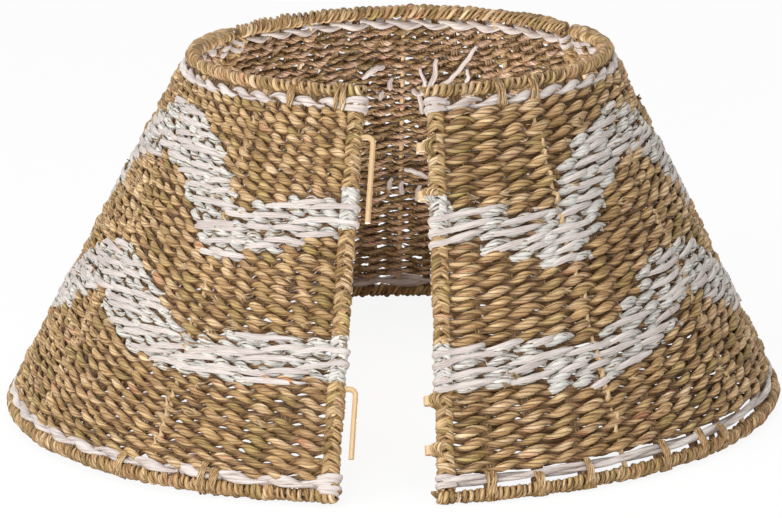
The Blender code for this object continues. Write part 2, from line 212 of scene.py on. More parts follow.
@dataclass(frozen=True)
class StrandFinish(Finish):
    """Dried grass blades twisted into a strand: satin, streaked along, painted shade between
    them.

    Its pattern follows the strand's own attributes, in metres along it and across it.
    """

    tones: tuple = ((0.0, "#C0AD73"), (0.25, "#DCC193"), (0.6, "#EED3A8"), (0.92, "#F8E5C6"),
                    (1.0, "#ECBC99"))
    shades: tuple = ((0.34, "#826848"), (0.43, "#C2AD90"), (0.54, "#E4D8C6"), (0.66, "#FFFCF4"))
    # Widths and lengths. A pixel of the view covers 0.8 mm, so single fibres are too fine to
    # show, and the streaks are drawn as coarse as they need to be.
    streak: tuple = (0.0020, 0.018)
    patch: tuple = (0.004, 0.02)
    drift: tuple = (0.02, 0.012)
    ribbons: int = 5
    # Painted shade: in the clefts between blades the colour falls to this share of itself.
    groove: float = 0.22
    groove_width: float = 0.30
    ribbon_shades: tuple = ((0.0, "#C4B8A8"), (1.0, "#FFFFFF"))
    # Painted light: the inner faces are lightened by these factors, most in blue, for the light
    # inside the collar.
    inner_tint: tuple = (1.02, 1.01, 1.32)
    inner_range: tuple = (-0.35, -0.75)
    # Painted shade: colour is multiplied by this where a point lies deep between lobes or
    # windings.
    hollow_tint: tuple = (0.34, 0.26, 0.18)

    def streaks(self, tree: NodeTree, size: tuple, detail: float) -> Node:
        """Noise drawn out along the strand.

        Args:
            tree: The material's tree.
            size: Width and length of a streak.
            detail: Octaves of the noise.

        Returns:
            The noise node.
        """
        section = add_node(tree, ATTRIBUTE, attribute_name="section").outputs["Vector"]
        along = add_node(tree, ATTRIBUTE, attribute_name="along").outputs["Fac"]
        across = add_node(tree, VECTOR, {0: section, "Scale": 1 / size[0]}, operation="SCALE")
        run = add_node(tree, MATH, (along, 1 / size[1]), operation="MULTIPLY")
        run = add_node(tree, COMBINE, (0.0, 0.0, run))
        place = add_node(tree, VECTOR, (across, run), operation="ADD")
        return add_node(tree, NOISE, {"Vector": place, "Scale": 1.0, "Detail": detail,
                                      "Roughness": 0.62})

    def blades(self, tree: NodeTree) -> dict:
        """The flat blades that a strand is twisted of, told apart by their place round it.

        Args:
            tree: The material's tree.

        Returns:
            The fine streak, how near a place is to its blade's crown, and the blade's number.
        """
        section = add_node(tree, ATTRIBUTE, attribute_name="section").outputs["Vector"]
        x, y, _ = add_node(tree, SEPARATE, (section,)).outputs
        known = {"x": x, "y": y, "drift": self.streaks(tree, self.drift, 1.0),
                 "streak": self.streaks(tree, self.streak, 4.0)}
        work_out(tree, known, (
            ("angle", "ARCTAN2", "y", "x"),
            ("turn", "MULTIPLY_ADD", "angle", self.ribbons / math.tau, "drift"),
            ("share", "FRACT", "turn"),
            ("rest", "SUBTRACT", 1.0, "share"),
            ("hill", "MULTIPLY", "share", "rest"),
            ("crown", "MULTIPLY", "hill", 4.0),
            ("count", "FLOOR", "turn"),
            ("number", "WRAP", "count", self.ribbons, 0.0),
            ("round", "POWER", "crown", 0.5),
            ("relief", "ADD", "round", "streak")))
        return known

    def colour(self, tree: NodeTree, known: dict) -> NodeSocket:
        """Colour of the strand, with painted light inside and painted shade in hollows and
        clefts.

        Args:
            tree: The material's tree.
            known: The strand's blades.

        Returns:
            The colour.
        """
        tone, front, hollow = (add_node(tree, ATTRIBUTE, attribute_name=name).outputs["Fac"]
                               for name in ("tone", "front", "hollow"))
        patch = self.streaks(tree, self.patch, 1.0)
        patch = add_node(tree, MAP_RANGE, {"Value": patch, 1: 0.3, 2: 0.7, 3: -0.15, 4: 0.10})
        pick = add_node(tree, MATH, (tone, patch), operation="ADD", use_clamp=True)
        shade = add_node(tree, RAMP, (known["streak"],), stops=self.shades)
        key = add_node(tree, COMBINE, (known["number"], tone, 0.0))
        blade = add_node(tree, "ShaderNodeTexWhiteNoise", {"Vector": key})
        blade = add_node(tree, RAMP, (blade,), stops=self.ribbon_shades)
        lined = add_node(tree, RAMP, (pick,), stops=self.tones)
        for factor in (shade, blade):
            lined = add_node(tree, VECTOR, (lined, factor), operation="MULTIPLY")
        # Painted light: inner faces get lighter, standing in for the light inside the collar.
        inside = add_node(tree, MAP_RANGE, {"Value": front, 1: self.inner_range[0],
                                            2: self.inner_range[1]})
        # Apply the painted light on the inner faces, then the painted shade deep between lobes
        # and windings.
        for share, tint in ((inside, self.inner_tint), (hollow, self.hollow_tint)):
            tinted = add_node(tree, VECTOR, (lined, tint), operation="MULTIPLY")
            lined = add_node(tree, MIX, {0: share, 6: lined, 7: tinted},
                             data_type="RGBA").outputs[2]
        # Painted shade in the clefts between blades.
        cleft_shade = add_node(tree, MAP_RANGE, {"Value": known["crown"], 1: 0.0,
                                           2: self.groove_width, 3: self.groove})
        return add_node(tree, VECTOR, {0: lined, "Scale": cleft_shade.outputs[0]},
                        operation="SCALE").outputs[0]

    def surface(self, tree: NodeTree) -> tuple:
        """Colour and relief of the twisted blades."""
        known = self.blades(tree)
        return self.colour(tree, known), known["relief"]


@dataclass(frozen=True)
class PaintedFinish(StrandFinish):
    """Thin white paint brushed on seagrass by hand: chalky, with bare fibre in its gaps."""

    paint: tuple = ((0.36, "#8E8A84"), (0.45, "#C0BCB5"), (0.6, "#D6D3CC"))
    gap: tuple = (0.0026, 0.008)
    gap_range: tuple = (0.45, 0.49)
    crown_hold: float = 0.10
    bare_shade: float = 0.62

    def colour(self, tree: NodeTree, known: dict) -> NodeSocket:
        """Paint over the strand's colour, worn through along some streaks.

        Args:
            tree: The material's tree.
            known: The strand's blades.

        Returns:
            The colour.
        """
        fibre = add_node(tree, VECTOR, {0: super().colour(tree, known),
                                        "Scale": self.bare_shade}, operation="SCALE")
        worn = add_node(tree, MATH, (known["crown"], self.crown_hold,
                                     self.streaks(tree, self.gap, 3.0)),
                        operation="MULTIPLY_ADD")
        cover = add_node(tree, MAP_RANGE, {"Value": worn, 1: self.gap_range[0],
                                           2: self.gap_range[1]})
        paint = add_node(tree, RAMP, (known["streak"],), stops=self.paint)
        return add_node(tree, MIX, {0: cover.outputs[0], 6: fibre, 7: paint},
                        data_type="RGBA").outputs[2]


@dataclass(frozen=True)
class PowderCoatFinish(Finish):
    """Straw yellow powder coat: baked, satin, with a faint orange peel."""

    colours: tuple = ((0.35, "#BE9E74"), (0.65, "#CBAE84"))
    # The peel is drawn at 0.9 mm, about the finest that the view can show.
    peel_size: float = 0.0009

    def surface(self, tree: NodeTree) -> tuple:
        """Colour and relief of the coat.

        Args:
            tree: The material's tree.

        Returns:
            The colour and the height of the peel.
        """
        place = add_node(tree, "ShaderNodeTexCoord").outputs["Object"]
        peel = add_node(tree, NOISE, {"Vector": place, "Scale": 1 / self.peel_size,
                                      "Detail": 2.0})
        return add_node(tree, RAMP, (peel,), stops=self.colours).outputs[0], peel


@dataclass(frozen=True)
class Finishes:
    """The four finishes of the collar."""

    seagrass: Material
    painted: Material
    cord: Material
    steel: Material

    @classmethod
    def make(cls) -> "Finishes":
        """Build every finish once.

        Returns:
            The finished materials.
        """
        # Seagrass is dried and twisted by hand: satin, streaky, painted shade in clefts and
        # hollows.
        seagrass = StrandFinish("natural_seagrass")
        # Thin paint is brushed on it: chalky, and worn to the fibre along streaks.
        painted = PaintedFinish("white_painted_seagrass")
        # Paper is twisted into a cord on a machine: matt, even, faint painted shade in its
        # grooves.
        cord = StrandFinish(
            "twisted_paper_cord", roughness=0.8, bump=0.35, bump_depth=0.0006,
            tones=((0.0, "#CDC5C1"), (0.5, "#D6CFCA"), (1.0, "#DED8D3")),
            shades=((0.34, "#BCB0AC"), (0.47, "#EEEAE8"), (0.6, "#FFFFFF")),
            streak=(0.0013, 0.02), ribbons=3, groove=0.80, groove_width=0.15,
            ribbon_shades=((0.0, "#F2EEEC"), (1.0, "#FFFFFF")), inner_tint=(1.0, 1.0, 1.0))
        # Powder is sprayed on the welded wire and baked: a satin skin, very finely dimpled.
        steel = PowderCoatFinish("straw_powder_coated_steel", roughness=0.42, bump=0.15,
                                 bump_depth=0.0002)
        return cls(*(finish.make() for finish in (seagrass, painted, cord, steel)))


# The collar's shape, as the CAD part gives it


@dataclass(frozen=True)
class CollarShape:
    """The cone on the centre lines of the two rails."""

    bottom_radius: float = 0.292
    top_radius: float = 0.1565
    rise: float = 0.2743
    bottom_height: float = 0.0058
    top_drift: float = 0.0095
    eye_reach: float = 0.0070
    hook_reach: float = 0.0124

    @property
    def slant(self) -> float:
        """Length of the wall between the two rails."""
        return math.hypot(self.rise, self.bottom_radius - self.top_radius)

    @property
    def flare(self) -> float:
        """Angle of the wall out of the upright."""
        return math.atan2(self.bottom_radius - self.top_radius, self.rise)

    @property
    def row_inputs(self) -> dict:
        """A row's length under the top rail, its growth down the slant, and its middle."""
        return {"Length": math.tau / 3 * self.top_radius - self.eye_reach - self.hook_reach,
                "Spread": math.tau / 3 * math.sin(self.flare),
                "Shift": (self.eye_reach - self.hook_reach) / 2}

    def on_cone(self, bearing: np.ndarray, drop: np.ndarray, lift: np.ndarray) -> np.ndarray:
        """Places on the collar, carried to the right as the hand-made frame leans.

        Args:
            bearing: Angle from the front towards +X.
            drop: Distance down the slant from the top rail.
            lift: Distance outwards from the middle of the wall.

        Returns:
            One row of coordinates for each place.
        """
        radius = self.top_radius + drop * math.sin(self.flare) + lift * math.cos(self.flare)
        climb = self.rise - drop * math.cos(self.flare) + lift * math.sin(self.flare)
        across = radius * np.sin(bearing) + self.top_drift / self.rise * climb
        return np.stack([across, -radius * np.cos(bearing), self.bottom_height + climb], axis=1)


class Side(Enum):
    """The three panels, by the bearing of their middles."""

    RIGHT = math.pi / 3
    BACK = math.pi
    LEFT = -math.pi / 3

    @property
    def label(self) -> str:
        """The panel's name in the CAD part."""
        return self.name.lower()

    @property
    def body(self) -> str:
        """The CAD body that the panel's pieces ride on."""
        return f"{self.label}_panel"


def standing_place(shape: CollarShape, joints: Sequence[dict]) -> Matrix:
    """Find how the collar leans on its feet, from the two hinge lines.

    Args:
        shape: The collar's sizes.
        joints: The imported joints.

    Returns:
        Matrix from the upright collar to the world.
    """
    def basis(feet: list[Vector], ups: list[Vector]) -> Matrix:
        """Axes of the plane through both hinge lines.

        Args:
            feet: Places on the right and the left hinge line.
            ups: Directions of the two lines.

        Returns:
            Matrix of the plane, with the middle between the feet as origin.
        """
        across = (feet[0] - feet[1]).normalized()
        inwards = (ups[0] + ups[1]).cross(across).normalized()
        axes = Matrix((across, inwards, across.cross(inwards))).transposed()
        return Matrix.Translation((feet[0] + feet[1]) / 2) @ axes.to_4x4()

    own_feet, own_ups, feet, ups = [], [], [], []
    for joint, side in ((j, s) for s in (Side.RIGHT, Side.LEFT) for j in joints
                        if j["child"] == s.body):
        bearing = side.value + math.copysign(math.pi / 3, side.value)
        drops = np.array([shape.slant, 0.0])
        foot, head = shape.on_cone(np.full(2, bearing), drops, np.zeros(2))
        own_feet.append(Vector(foot))
        own_ups.append(Vector(head - foot).normalized())
        axis = Vector(joint["axis"])
        feet.append(Vector(joint["pos_m"]))
        ups.append(axis if axis.z > 0 else -axis)
    return basis(feet, ups) @ basis(own_feet, own_ups).inverted()


@dataclass
class PanelPlace:
    """One panel as it stands: it carries flat strands on to the cone."""

    shape: CollarShape
    side: Side
    stand: Matrix
    joints: Sequence[dict]

    def __post_init__(self) -> None:
        """Add the panel's own swing, which is closed at its joint's lower limit."""
        self.matrix = self.stand
        for joint in self.joints:
            if joint["child"] == self.side.body:
                foot = Matrix.Translation(Vector(joint["pos_m"]))
                turn = Matrix.Rotation(math.radians(-joint["range_deg"][0]), 4,
                                       Vector(joint["axis"]))
                self.matrix = foot @ turn @ foot.inverted() @ self.stand

    def stiles(self, drop: Reals) -> tuple[Reals, Reals]:
        """Flat X of the eye stile and the hook stile, at a distance down the slant."""
        half = (self.shape.top_radius + drop * math.sin(self.shape.flare)) * math.pi / 3
        return self.shape.eye_reach - half, half - self.shape.hook_reach

    def flat_x(self, share: Reals, drop: Reals) -> Reals:
        """Flat X at a share of the row, from the eye stile (0) to the hook stile (1)."""
        eye, hook = self.stiles(drop)
        return eye + (hook - eye) * share

    def carry(self, flat: np.ndarray) -> np.ndarray:
        """Carry flat places to the world.

        Args:
            flat: Rows of X along the wall, Y inwards and Z up the slant.

        Returns:
            Rows of world coordinates, none under the floor.
        """
        drop = -flat[:, 2]
        radius = self.shape.top_radius + drop * math.sin(self.shape.flare)
        bearing = self.side.value + flat[:, 0] / radius
        matrix = np.array(self.matrix)
        world = self.shape.on_cone(bearing, drop, -flat[:, 1]) @ matrix[:3, :3].T + matrix[:3, 3]
        world[:, 2] = np.maximum(world[:, 2], 0.0)
        return world

    def dress(self, mesh: Mesh, name: str, slot: str,
              replaces: Iterable[str] = ()) -> None:
        """Carry a flat mesh to the world and put it on the panel's body.

        Args:
            mesh: The flat mesh.
            name: What the piece is called, after the panel's name.
            slot: The record's material slot; not used.
            replaces: CAD pieces of this panel that the piece stands for.
        """
        mesh.vertices.foreach_set("co", self.carry(read(mesh.vertices, "co", 3)).ravel())
        mesh.update()
        piece = added(f"{self.side.label}_{name}", mesh)
        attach(piece, self.side.body)
        if replaces:
            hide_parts(*(f"{self.side.label}_{node}" for node in replaces))
        LOG.info("%s: %d faces", piece.name, len(mesh.polygons))


# Geometry Nodes: strands of every kind


@dataclass(frozen=True)
class Path:
    """A drawn strand: points of flat X, lift and drop, its tone and its girths.

    Without girths, the strand is 1 all along.
    """

    points: Sequence[tuple[float, float, float]]
    tone: float = 0.5
    girths: Sequence[float] = ()


@dataclass
class StrandTree:
    """Tree that sweeps a strand's outline along the curves that a subclass lays out.

    Its inputs are given as names by type.
    """

    name: str
    sides: int
    inputs: dict

    COMMON = {"Float": ("Half Height", "Half Depth", "Waist"), "Material": ("Finish",)}

    def __post_init__(self) -> None:
        """Build the tree once."""
        self.tree = bpy.data.node_groups.new(self.name, "GeometryNodeTree")
        self.tree.is_modifier = True
        face = self.tree.interface
        face.new_socket("Geometry", in_out="INPUT", socket_type="NodeSocketGeometry")
        face.new_socket("Geometry", in_out="OUTPUT", socket_type="NodeSocketGeometry")
        self.codes = {name: face.new_socket(name, in_out="INPUT",
                                            socket_type=f"NodeSocket{kind}").identifier
                      for group in (self.inputs, self.COMMON)
                      for kind, names in group.items() for name in names}
        given = add_node(self.tree, "NodeGroupInput").outputs
        known = {name: given[name] for name in ("Geometry", *self.codes)}
        self.sweep(*self.lay_out(known), known)

    def lay_out(self, known: dict) -> tuple:
        """Lay out the curves.

        Args:
            known: The tree's inputs by name.

        Returns:
            The node with the curves, and the girth of the strand along them.
        """
        raise NotImplementedError

    def copies(self, known: dict, end: tuple, count: str, amount: str) -> Node:
        """Lay numbered copies of one line from the origin.

        Args:
            known: Names the line's point count and the number of copies, and gets the
                index of each copy and the share along it.
            end: Where the line ends.
            count: Name of the point count.
            amount: Name of the number of copies.

        Returns:
            The node with the copies.
        """
        tree = self.tree
        line = add_node(tree, "GeometryNodeCurvePrimitiveLine", {"End": end})
        line = add_node(tree, "GeometryNodeResampleCurve", {0: line, "Count": known[count]})
        copies = add_node(tree, "GeometryNodeDuplicateElements",
                          {0: line, "Amount": known[amount]}, domain="SPLINE")
        known["index"] = add_node(tree, NAMED, {0: "strand"})
        known["share"] = add_node(tree, SPLINE).outputs["Factor"]
        return add_node(tree, STORE, {0: copies, "Name": "strand", "Value": copies.outputs[1]})

    def placed(self, curves: Node, known: dict, pace: float, apart: float,
               scale: float, detail: float) -> Node:
        """Set the curves at x, y and z, less even by noise.

        Args:
            curves: The curves.
            known: Names x, y, z, way, which grows along a strand, Wander and Seed.
            pace: Steps through the noise for each unit of way.
            apart: Steps through the noise from strand to strand.
            scale: Scale of the noise.
            detail: Octaves of the noise.

        Returns:
            The node with the moved curves.
        """
        tree = self.tree
        work_out(tree, known, (("walk", "MULTIPLY", "way", pace),
                               ("row_apart", "MULTIPLY", "index", apart),
                               ("seed_apart", "MULTIPLY", "Seed", 3.7)))
        spot = add_node(tree, COMBINE, [known[key] for key in ("walk", "row_apart",
                                                               "seed_apart")])
        noise = add_node(tree, NOISE, {"Vector": spot, "Scale": scale, "Detail": detail})
        waver = add_node(tree, VECTOR, (noise.outputs["Color"], (0.5, 0.5, 0.5)),
                         operation="SUBTRACT")
        waver = add_node(tree, VECTOR, (waver, known["Wander"]), operation="MULTIPLY")
        place = add_node(tree, COMBINE, [known[key] for key in "xyz"])
        return add_node(tree, SET_POSITION, {0: curves, "Position": place, "Offset": waver})

    def held(self, curves: Node, known: dict, names: Sequence[str],
             normals: str) -> Node:
        """Store values along the curves, and hold and tilt their outline.

        Args:
            curves: The curves.
            known: Names the values, and tilt.
            names: Values to store.
            normals: Mode of the curves' normals: Z_UP for strands that run along the wall.

        Returns:
            The node with the curves.
        """
        for name in names:
            curves = add_node(self.tree, STORE, {0: curves, "Name": name, "Value": known[name]})
        curves = add_node(self.tree, "GeometryNodeSetCurveNormal", (curves,), mode=normals)
        return add_node(self.tree, "GeometryNodeSetCurveTilt",
                        {0: curves, "Tilt": known["tilt"]})

    def sweep(self, curves: Node, girth: object, known: dict) -> None:
        """Sweep the outline, drawn in at its waist, along the curves and finish the mesh.

        Args:
            curves: The curves.
            girth: Size of the outline along them.
            known: The tree's inputs by name.
        """
        tree = self.tree
        length = add_node(tree, SPLINE).outputs["Length"]
        curves = add_node(tree, STORE, {0: curves, "Name": "along", "Value": length})
        ring = add_node(tree, "GeometryNodeCurvePrimitiveCircle", {0: self.sides, "Radius": 1.0})
        place = add_node(tree, "GeometryNodeInputPosition")
        known["across"], known["up"], _ = add_node(tree, SEPARATE, (place,)).outputs
        work_out(tree, known, (
            ("square", "MULTIPLY", "across", "across"),
            ("pinch", "MULTIPLY", "square", "Waist"),
            ("keep", "SUBTRACT", 1.0, "pinch"),
            ("depth", "MULTIPLY", "Half Depth", "keep"),
            ("deep", "MULTIPLY", "across", "depth"),
            ("high", "MULTIPLY", "up", "Half Height")))
        outline = add_node(tree, COMBINE, (known["deep"], known["high"], 0.0))
        ring = add_node(tree, SET_POSITION, {0: ring, "Position": outline})
        ring = add_node(tree, STORE, {0: ring, "Name": "section", "Value": add_node(
            tree, "GeometryNodeInputPosition")}, data_type="FLOAT_VECTOR")
        tube = add_node(tree, "GeometryNodeCurveToMesh",
                        {0: curves, 1: ring, "Scale": girth, "Fill Caps": True})
        tube = add_node(tree, "GeometryNodeSetShadeSmooth", {0: tube, "Shade Smooth": True})
        tube = add_node(tree, "GeometryNodeRealizeInstances", (tube,))
        tube = add_node(tree, "GeometryNodeSetMaterial", {0: tube, "Material": known["Finish"]})
        add_node(tree, "NodeGroupOutput", (tube,))

    def grow(self, values: dict, sizes: object = None, lines: Mesh | None = None) -> Mesh:
        """Run the tree with its inputs set, and give back a plain mesh.

        Args:
            values: Input values by name.
            sizes: Holds the other inputs, as fields of the same names.
            lines: Lines for the tree to follow, where it needs them.

        Returns:
            The mesh, still flat.
        """
        helper = added(self.name, lines or bpy.data.meshes.new(self.name))
        modifier = helper.modifiers.new(self.name, "NODES")
        modifier.node_group = self.tree
        for name, code in self.codes.items():
            modifier[code] = (values[name] if name in values
                              else getattr(sizes, name.lower().replace(" ", "_")))
        graph = bpy.context.evaluated_depsgraph_get()
        mesh = bpy.data.meshes.new_from_object(helper.evaluated_get(graph))
        helper.modifiers.remove(modifier)
        bpy.data.objects.remove(helper)
        return mesh


class TwinedRows(StrandTree):
    """Rows of two strands that turn about each other, each lobe in front of a warp."""

    def __init__(self) -> None:
        """Name the inputs."""
        super().__init__("twined_rows", 8, {
            "Int": ("Rows", "Lobes", "More Lobes", "Steps", "Seed"), "Vector": ("Wander",),
            "Float": ("Length", "Spread", "Shift", "First Drop", "Pitch", "Swing", "Lift",
                      "Hand", "Ply Turns", "Swell", "Leaf", "Ride", "Jitter", "Low End")})

    def lay_out(self, known: dict) -> tuple:
        """Lay out two strands for each row.

        Args:
            known: The tree's inputs by name.

        Returns:
            The node with the curves, and the girth of the strand along them.
        """
        tree = self.tree
        work_out(tree, known, (("count", "MULTIPLY_ADD", "Lobes", "Steps", 1.0),
                               ("amount", "MULTIPLY", "Rows", 2.0)))
        curves = self.copies(known, (1.0, 0.0, 0.0), "count", "amount")
        work_out(tree, known, (
            ("side", "MODULO", "index", 2.0),
            ("pair", "MULTIPLY", "index", 0.5),
            ("row", "FLOOR", "pair"),
            ("drop", "MULTIPLY_ADD", "row", "Pitch", "First Drop"),
            ("down", "DIVIDE", "row", "Rows"),
            ("more", "MULTIPLY", "down", "More Lobes"),
            ("added", "FLOOR", "more"),
            ("lobes", "ADD", "added", "Lobes"),
            ("lobe", "MULTIPLY", "share", "lobes"),
            ("rest", "SUBTRACT", "lobes", "lobe"),
            ("edge", "MINIMUM", "lobe", "rest"),
            ("turn", "ADD", "lobe", "side"),
            ("phase", "MULTIPLY", "turn", math.pi),
            ("front", "COSINE", "phase"),
            ("climb", "SINE", "phase"),
            ("late", "ADD", "turn", 0.5),
            ("crossing", "FLOOR", "late"),
            ("number", "MULTIPLY_ADD", "index", 71.0, "crossing"),
            ("other_seed", "ADD", "Seed", 9.0)))
        near = add_node(tree, MAP_RANGE, {"Value": known["edge"], 1: 0.0, 2: 0.7,
                                          3: known["Low End"], 4: 1.0})
        known["tone"] = add_node(tree, RANDOM, {7: known["number"], 8: known["Seed"]},
                                 data_type="FLOAT").outputs[1]
        uneven = add_node(tree, RANDOM, {0: (-1.0, -1.0, -1.0), 1: (1.0, 1.0, 1.0),
                                         7: known["number"], 8: known["other_seed"]},
                          data_type="FLOAT_VECTOR").outputs[0]
        known["fat"], known["out"], known["jump"] = add_node(tree, SEPARATE, (uneven,)).outputs
        known.update(near=near, way=known["lobe"])
        work_out(tree, known, (
            ("length", "MULTIPLY_ADD", "drop", "Spread", "Length"),
            ("middle", "SUBTRACT", "share", 0.5),
            ("x", "MULTIPLY_ADD", "middle", "length", "Shift"),
            ("even", "MULTIPLY", "front", "Lift"),
            ("ride", "MULTIPLY_ADD", "out", "Ride", 1.0),
            ("ridden", "MULTIPLY", "even", "ride"),
            ("lift", "MULTIPLY", "ridden", "near"),
            ("y", "MULTIPLY", "lift", -1.0),
            ("swung", "MULTIPLY", "climb", "Swing"),
            ("rise", "MULTIPLY", "swung", "Hand"),
            ("jolt", "MULTIPLY", "jump", "front"),
            ("high", "MULTIPLY_ADD", "jolt", "Jitter", "rise"),
            ("z", "SUBTRACT", "high", "drop"),
            ("own", "SUBTRACT", "crossing", "side"),
            ("oval", "DIVIDE", "own", "lobes"),
            ("tilt", "MULTIPLY", "phase", "Ply Turns"),
            ("twice", "MULTIPLY", "phase", 2.0),
            ("belly", "COSINE", "twice"),
            ("leaf", "MULTIPLY_ADD", "belly", "Leaf", 1.0),
            ("girth", "MULTIPLY_ADD", "fat", "Swell", "leaf")))
        curves = self.placed(curves, known, 0.55, 5.3, 1.0, 1.0)
        return self.held(curves, known, ("tone", "oval", "drop", "front"), "Z_UP"), known["girth"]


class WoundStrand(StrandTree):
    """Strands wound round a straight core that runs down from the origin."""

    def __init__(self) -> None:
        """Name the inputs."""
        super().__init__("wound_strand", 8, {
            "Int": ("Strands", "Steps", "Seed"),
            "Float": ("Turns", "Length", "Coil", "Squash", "Hand", "Ply Turns", "Wander",
                      "Swell")})

    def lay_out(self, known: dict) -> tuple:
        """Lay out the windings.

        Args:
            known: The tree's inputs by name.

        Returns:
            The node with the curves, and the girth of the strand along them.
        """
        tree = self.tree
        work_out(tree, known, (("count", "MULTIPLY_ADD", "Turns", "Steps", 1.0),))
        curves = self.copies(known, (0.0, 0.0, -1.0), "count", "Strands")
        work_out(tree, known, (
            ("start", "DIVIDE", "index", "Strands"),
            ("way", "MULTIPLY_ADD", "share", "Turns", "start"),
            ("lap", "FLOOR", "way"),
            ("number", "MULTIPLY_ADD", "index", 977.0, "lap"),
            ("other_seed", "ADD", "Seed", 9.0),
            ("spin", "MULTIPLY", "Hand", math.tau),
            ("angle", "MULTIPLY", "way", "spin"),
            ("right", "COSINE", "angle"),
            ("inwards", "SINE", "angle"),
            ("wide", "MULTIPLY", "Coil", "Squash"),
            ("x", "MULTIPLY", "right", "wide"),
            ("y", "MULTIPLY", "inwards", "Coil"),
            ("down", "MULTIPLY", "share", "Length"),
            ("z", "MULTIPLY", "down", -1.0),
            ("tilt", "MULTIPLY", "angle", "Ply Turns")))
        known["tone"] = add_node(tree, RANDOM, {7: known["number"], 8: known["Seed"]},
                                 data_type="FLOAT").outputs[1]
        known["fat"] = add_node(tree, RANDOM, {2: -1.0, 3: 1.0, 7: known["number"],
                                               8: known["other_seed"]},
                                data_type="FLOAT").outputs[1]
        work_out(tree, known, (("girth", "MULTIPLY_ADD", "fat", "Swell", 1.0),))
        curves = self.placed(curves, known, 1.7, 5.3, 1.0, 1.0)
        return self.held(curves, known, ("tone",), "Z_UP"), known["girth"]


class WarpBundles(StrandTree):
    """Bundles of upright strands at equal shares of the panel, none at a wire stake."""

    def __init__(self) -> None:
        """Name the inputs."""
        super().__init__("warp_bundles", 6, {
            "Int": ("Warps", "Bundle", "Steps", "Stake Every", "Seed"),
            "Float": ("End", "Length", "Spread", "Shift", "Gap", "Wander")})

    def lay_out(self, known: dict) -> tuple:
        """Lay out the strands of each bundle.

        Args:
            known: The tree's inputs by name.

        Returns:
            The node with the curves, and the girth of the strand along them.
        """
        tree = self.tree
        work_out(tree, known, (("inner", "SUBTRACT", "Warps", 1.0),
                               ("amount", "MULTIPLY", "inner", "Bundle")))
        curves = self.copies(known, (0.0, 0.0, -1.0), "Steps", "amount")
        work_out(tree, known, (
            ("side", "MODULO", "index", "Bundle"),
            ("bundles", "DIVIDE", "index", "Bundle"),
            ("before", "FLOOR", "bundles"),
            ("warp", "ADD", "before", 1.0),
            ("past_stake", "MODULO", "warp", "Stake Every"),
            ("stake", "LESS_THAN", "past_stake", 0.5),
            ("way", "MULTIPLY", "share", "End"),
            ("length", "MULTIPLY_ADD", "way", "Spread", "Length"),
            ("part", "DIVIDE", "warp", "Warps"),
            ("off", "SUBTRACT", "part", 0.5),
            ("middle", "MULTIPLY_ADD", "off", "length", "Shift"),
            ("half", "MULTIPLY_ADD", "Bundle", 0.5, -0.5),
            ("beside", "SUBTRACT", "side", "half"),
            ("x", "MULTIPLY_ADD", "beside", "Gap", "middle"),
            ("z", "MULTIPLY", "way", -1.0)))
        known["y"] = add_node(tree, "ShaderNodeValue")
        curves = self.placed(curves, known, 60.0, 1.0, 3.1, 0.0)
        tone = add_node(tree, RANDOM, {7: known["index"], 8: known["Seed"]},
                        data_type="FLOAT").outputs[1]
        curves = add_node(tree, STORE, {0: curves, "Name": "tone", "Value": tone})
        curves = add_node(tree, "GeometryNodeDeleteGeometry",
                          {0: curves, "Selection": known["stake"]}, domain="CURVE")
        return curves, 1.0


class LaidCords(StrandTree):
    """Strands along drawn lines, whose points carry their own girth and tone."""

    def __init__(self, name: str, normals: str) -> None:
        """Name the inputs.

        Args:
            name: Name of the tree.
            normals: How the outline is held: Z_UP for lines that run along the wall.
        """
        self.normals = normals
        super().__init__(name, 8, {"Float": ("Twist",)})

    def lay_out(self, known: dict) -> tuple:
        """Follow the lines of the object that carries the tree.

        Args:
            known: The tree's inputs by name.

        Returns:
            The node with the curves, and the girth of the strand along them.
        """
        lines = add_node(self.tree, "GeometryNodeMeshToCurve", (known["Geometry"],))
        known["run"] = add_node(self.tree, SPLINE).outputs["Length"]
        work_out(self.tree, known, (("tilt", "MULTIPLY", "run", "Twist"),))
        girth = add_node(self.tree, NAMED, {0: "girth"})
        return self.held(lines, known, (), self.normals), girth

    def lay(self, paths: Sequence[Path], finish: Material, half_height: float,
            half_depth: float, waist: float, twist: float = 0.0) -> Mesh:
        """Lay a strand along each path.

        Args:
            paths: The strands.
            finish: Their finish.
            half_height: Half the height of their outline.
            half_depth: Half its depth.
            waist: How far it is drawn in.
            twist: How far it turns, in radians for each metre.

        Returns:
            The flat mesh.
        """
        places, edges, girths, tones = [], [], [], []
        for path in paths:
            first = len(places)
            places += [(x, -lift, -drop) for x, lift, drop in path.points]
            edges += [(i, i + 1) for i in range(first, len(places) - 1)]
            girths += path.girths or [1.0] * len(path.points)
            tones += [path.tone] * len(path.points)
        lines = bpy.data.meshes.new("lines")
        lines.from_pydata(places, edges, [])
        for name, values in (("girth", girths), ("tone", tones)):
            lines.attributes.new(name, "FLOAT", "POINT").data.foreach_set("value", values)
        return self.grow({"Half Height": half_height, "Half Depth": half_depth, "Waist": waist,
                          "Twist": twist, "Finish": finish}, lines=lines)


@dataclass(frozen=True)
class Trees:
    """The Geometry Nodes trees that the pieces share."""

    rows: TwinedRows = field(default_factory=TwinedRows)
    wound: WoundStrand = field(default_factory=WoundStrand)
    warps: WarpBundles = field(default_factory=WarpBundles)
    level: LaidCords = field(default_factory=lambda: LaidCords("level_cords", "Z_UP"))
    free: LaidCords = field(default_factory=lambda: LaidCords("free_cords", "MINIMUM_TWIST"))


# Flat meshes


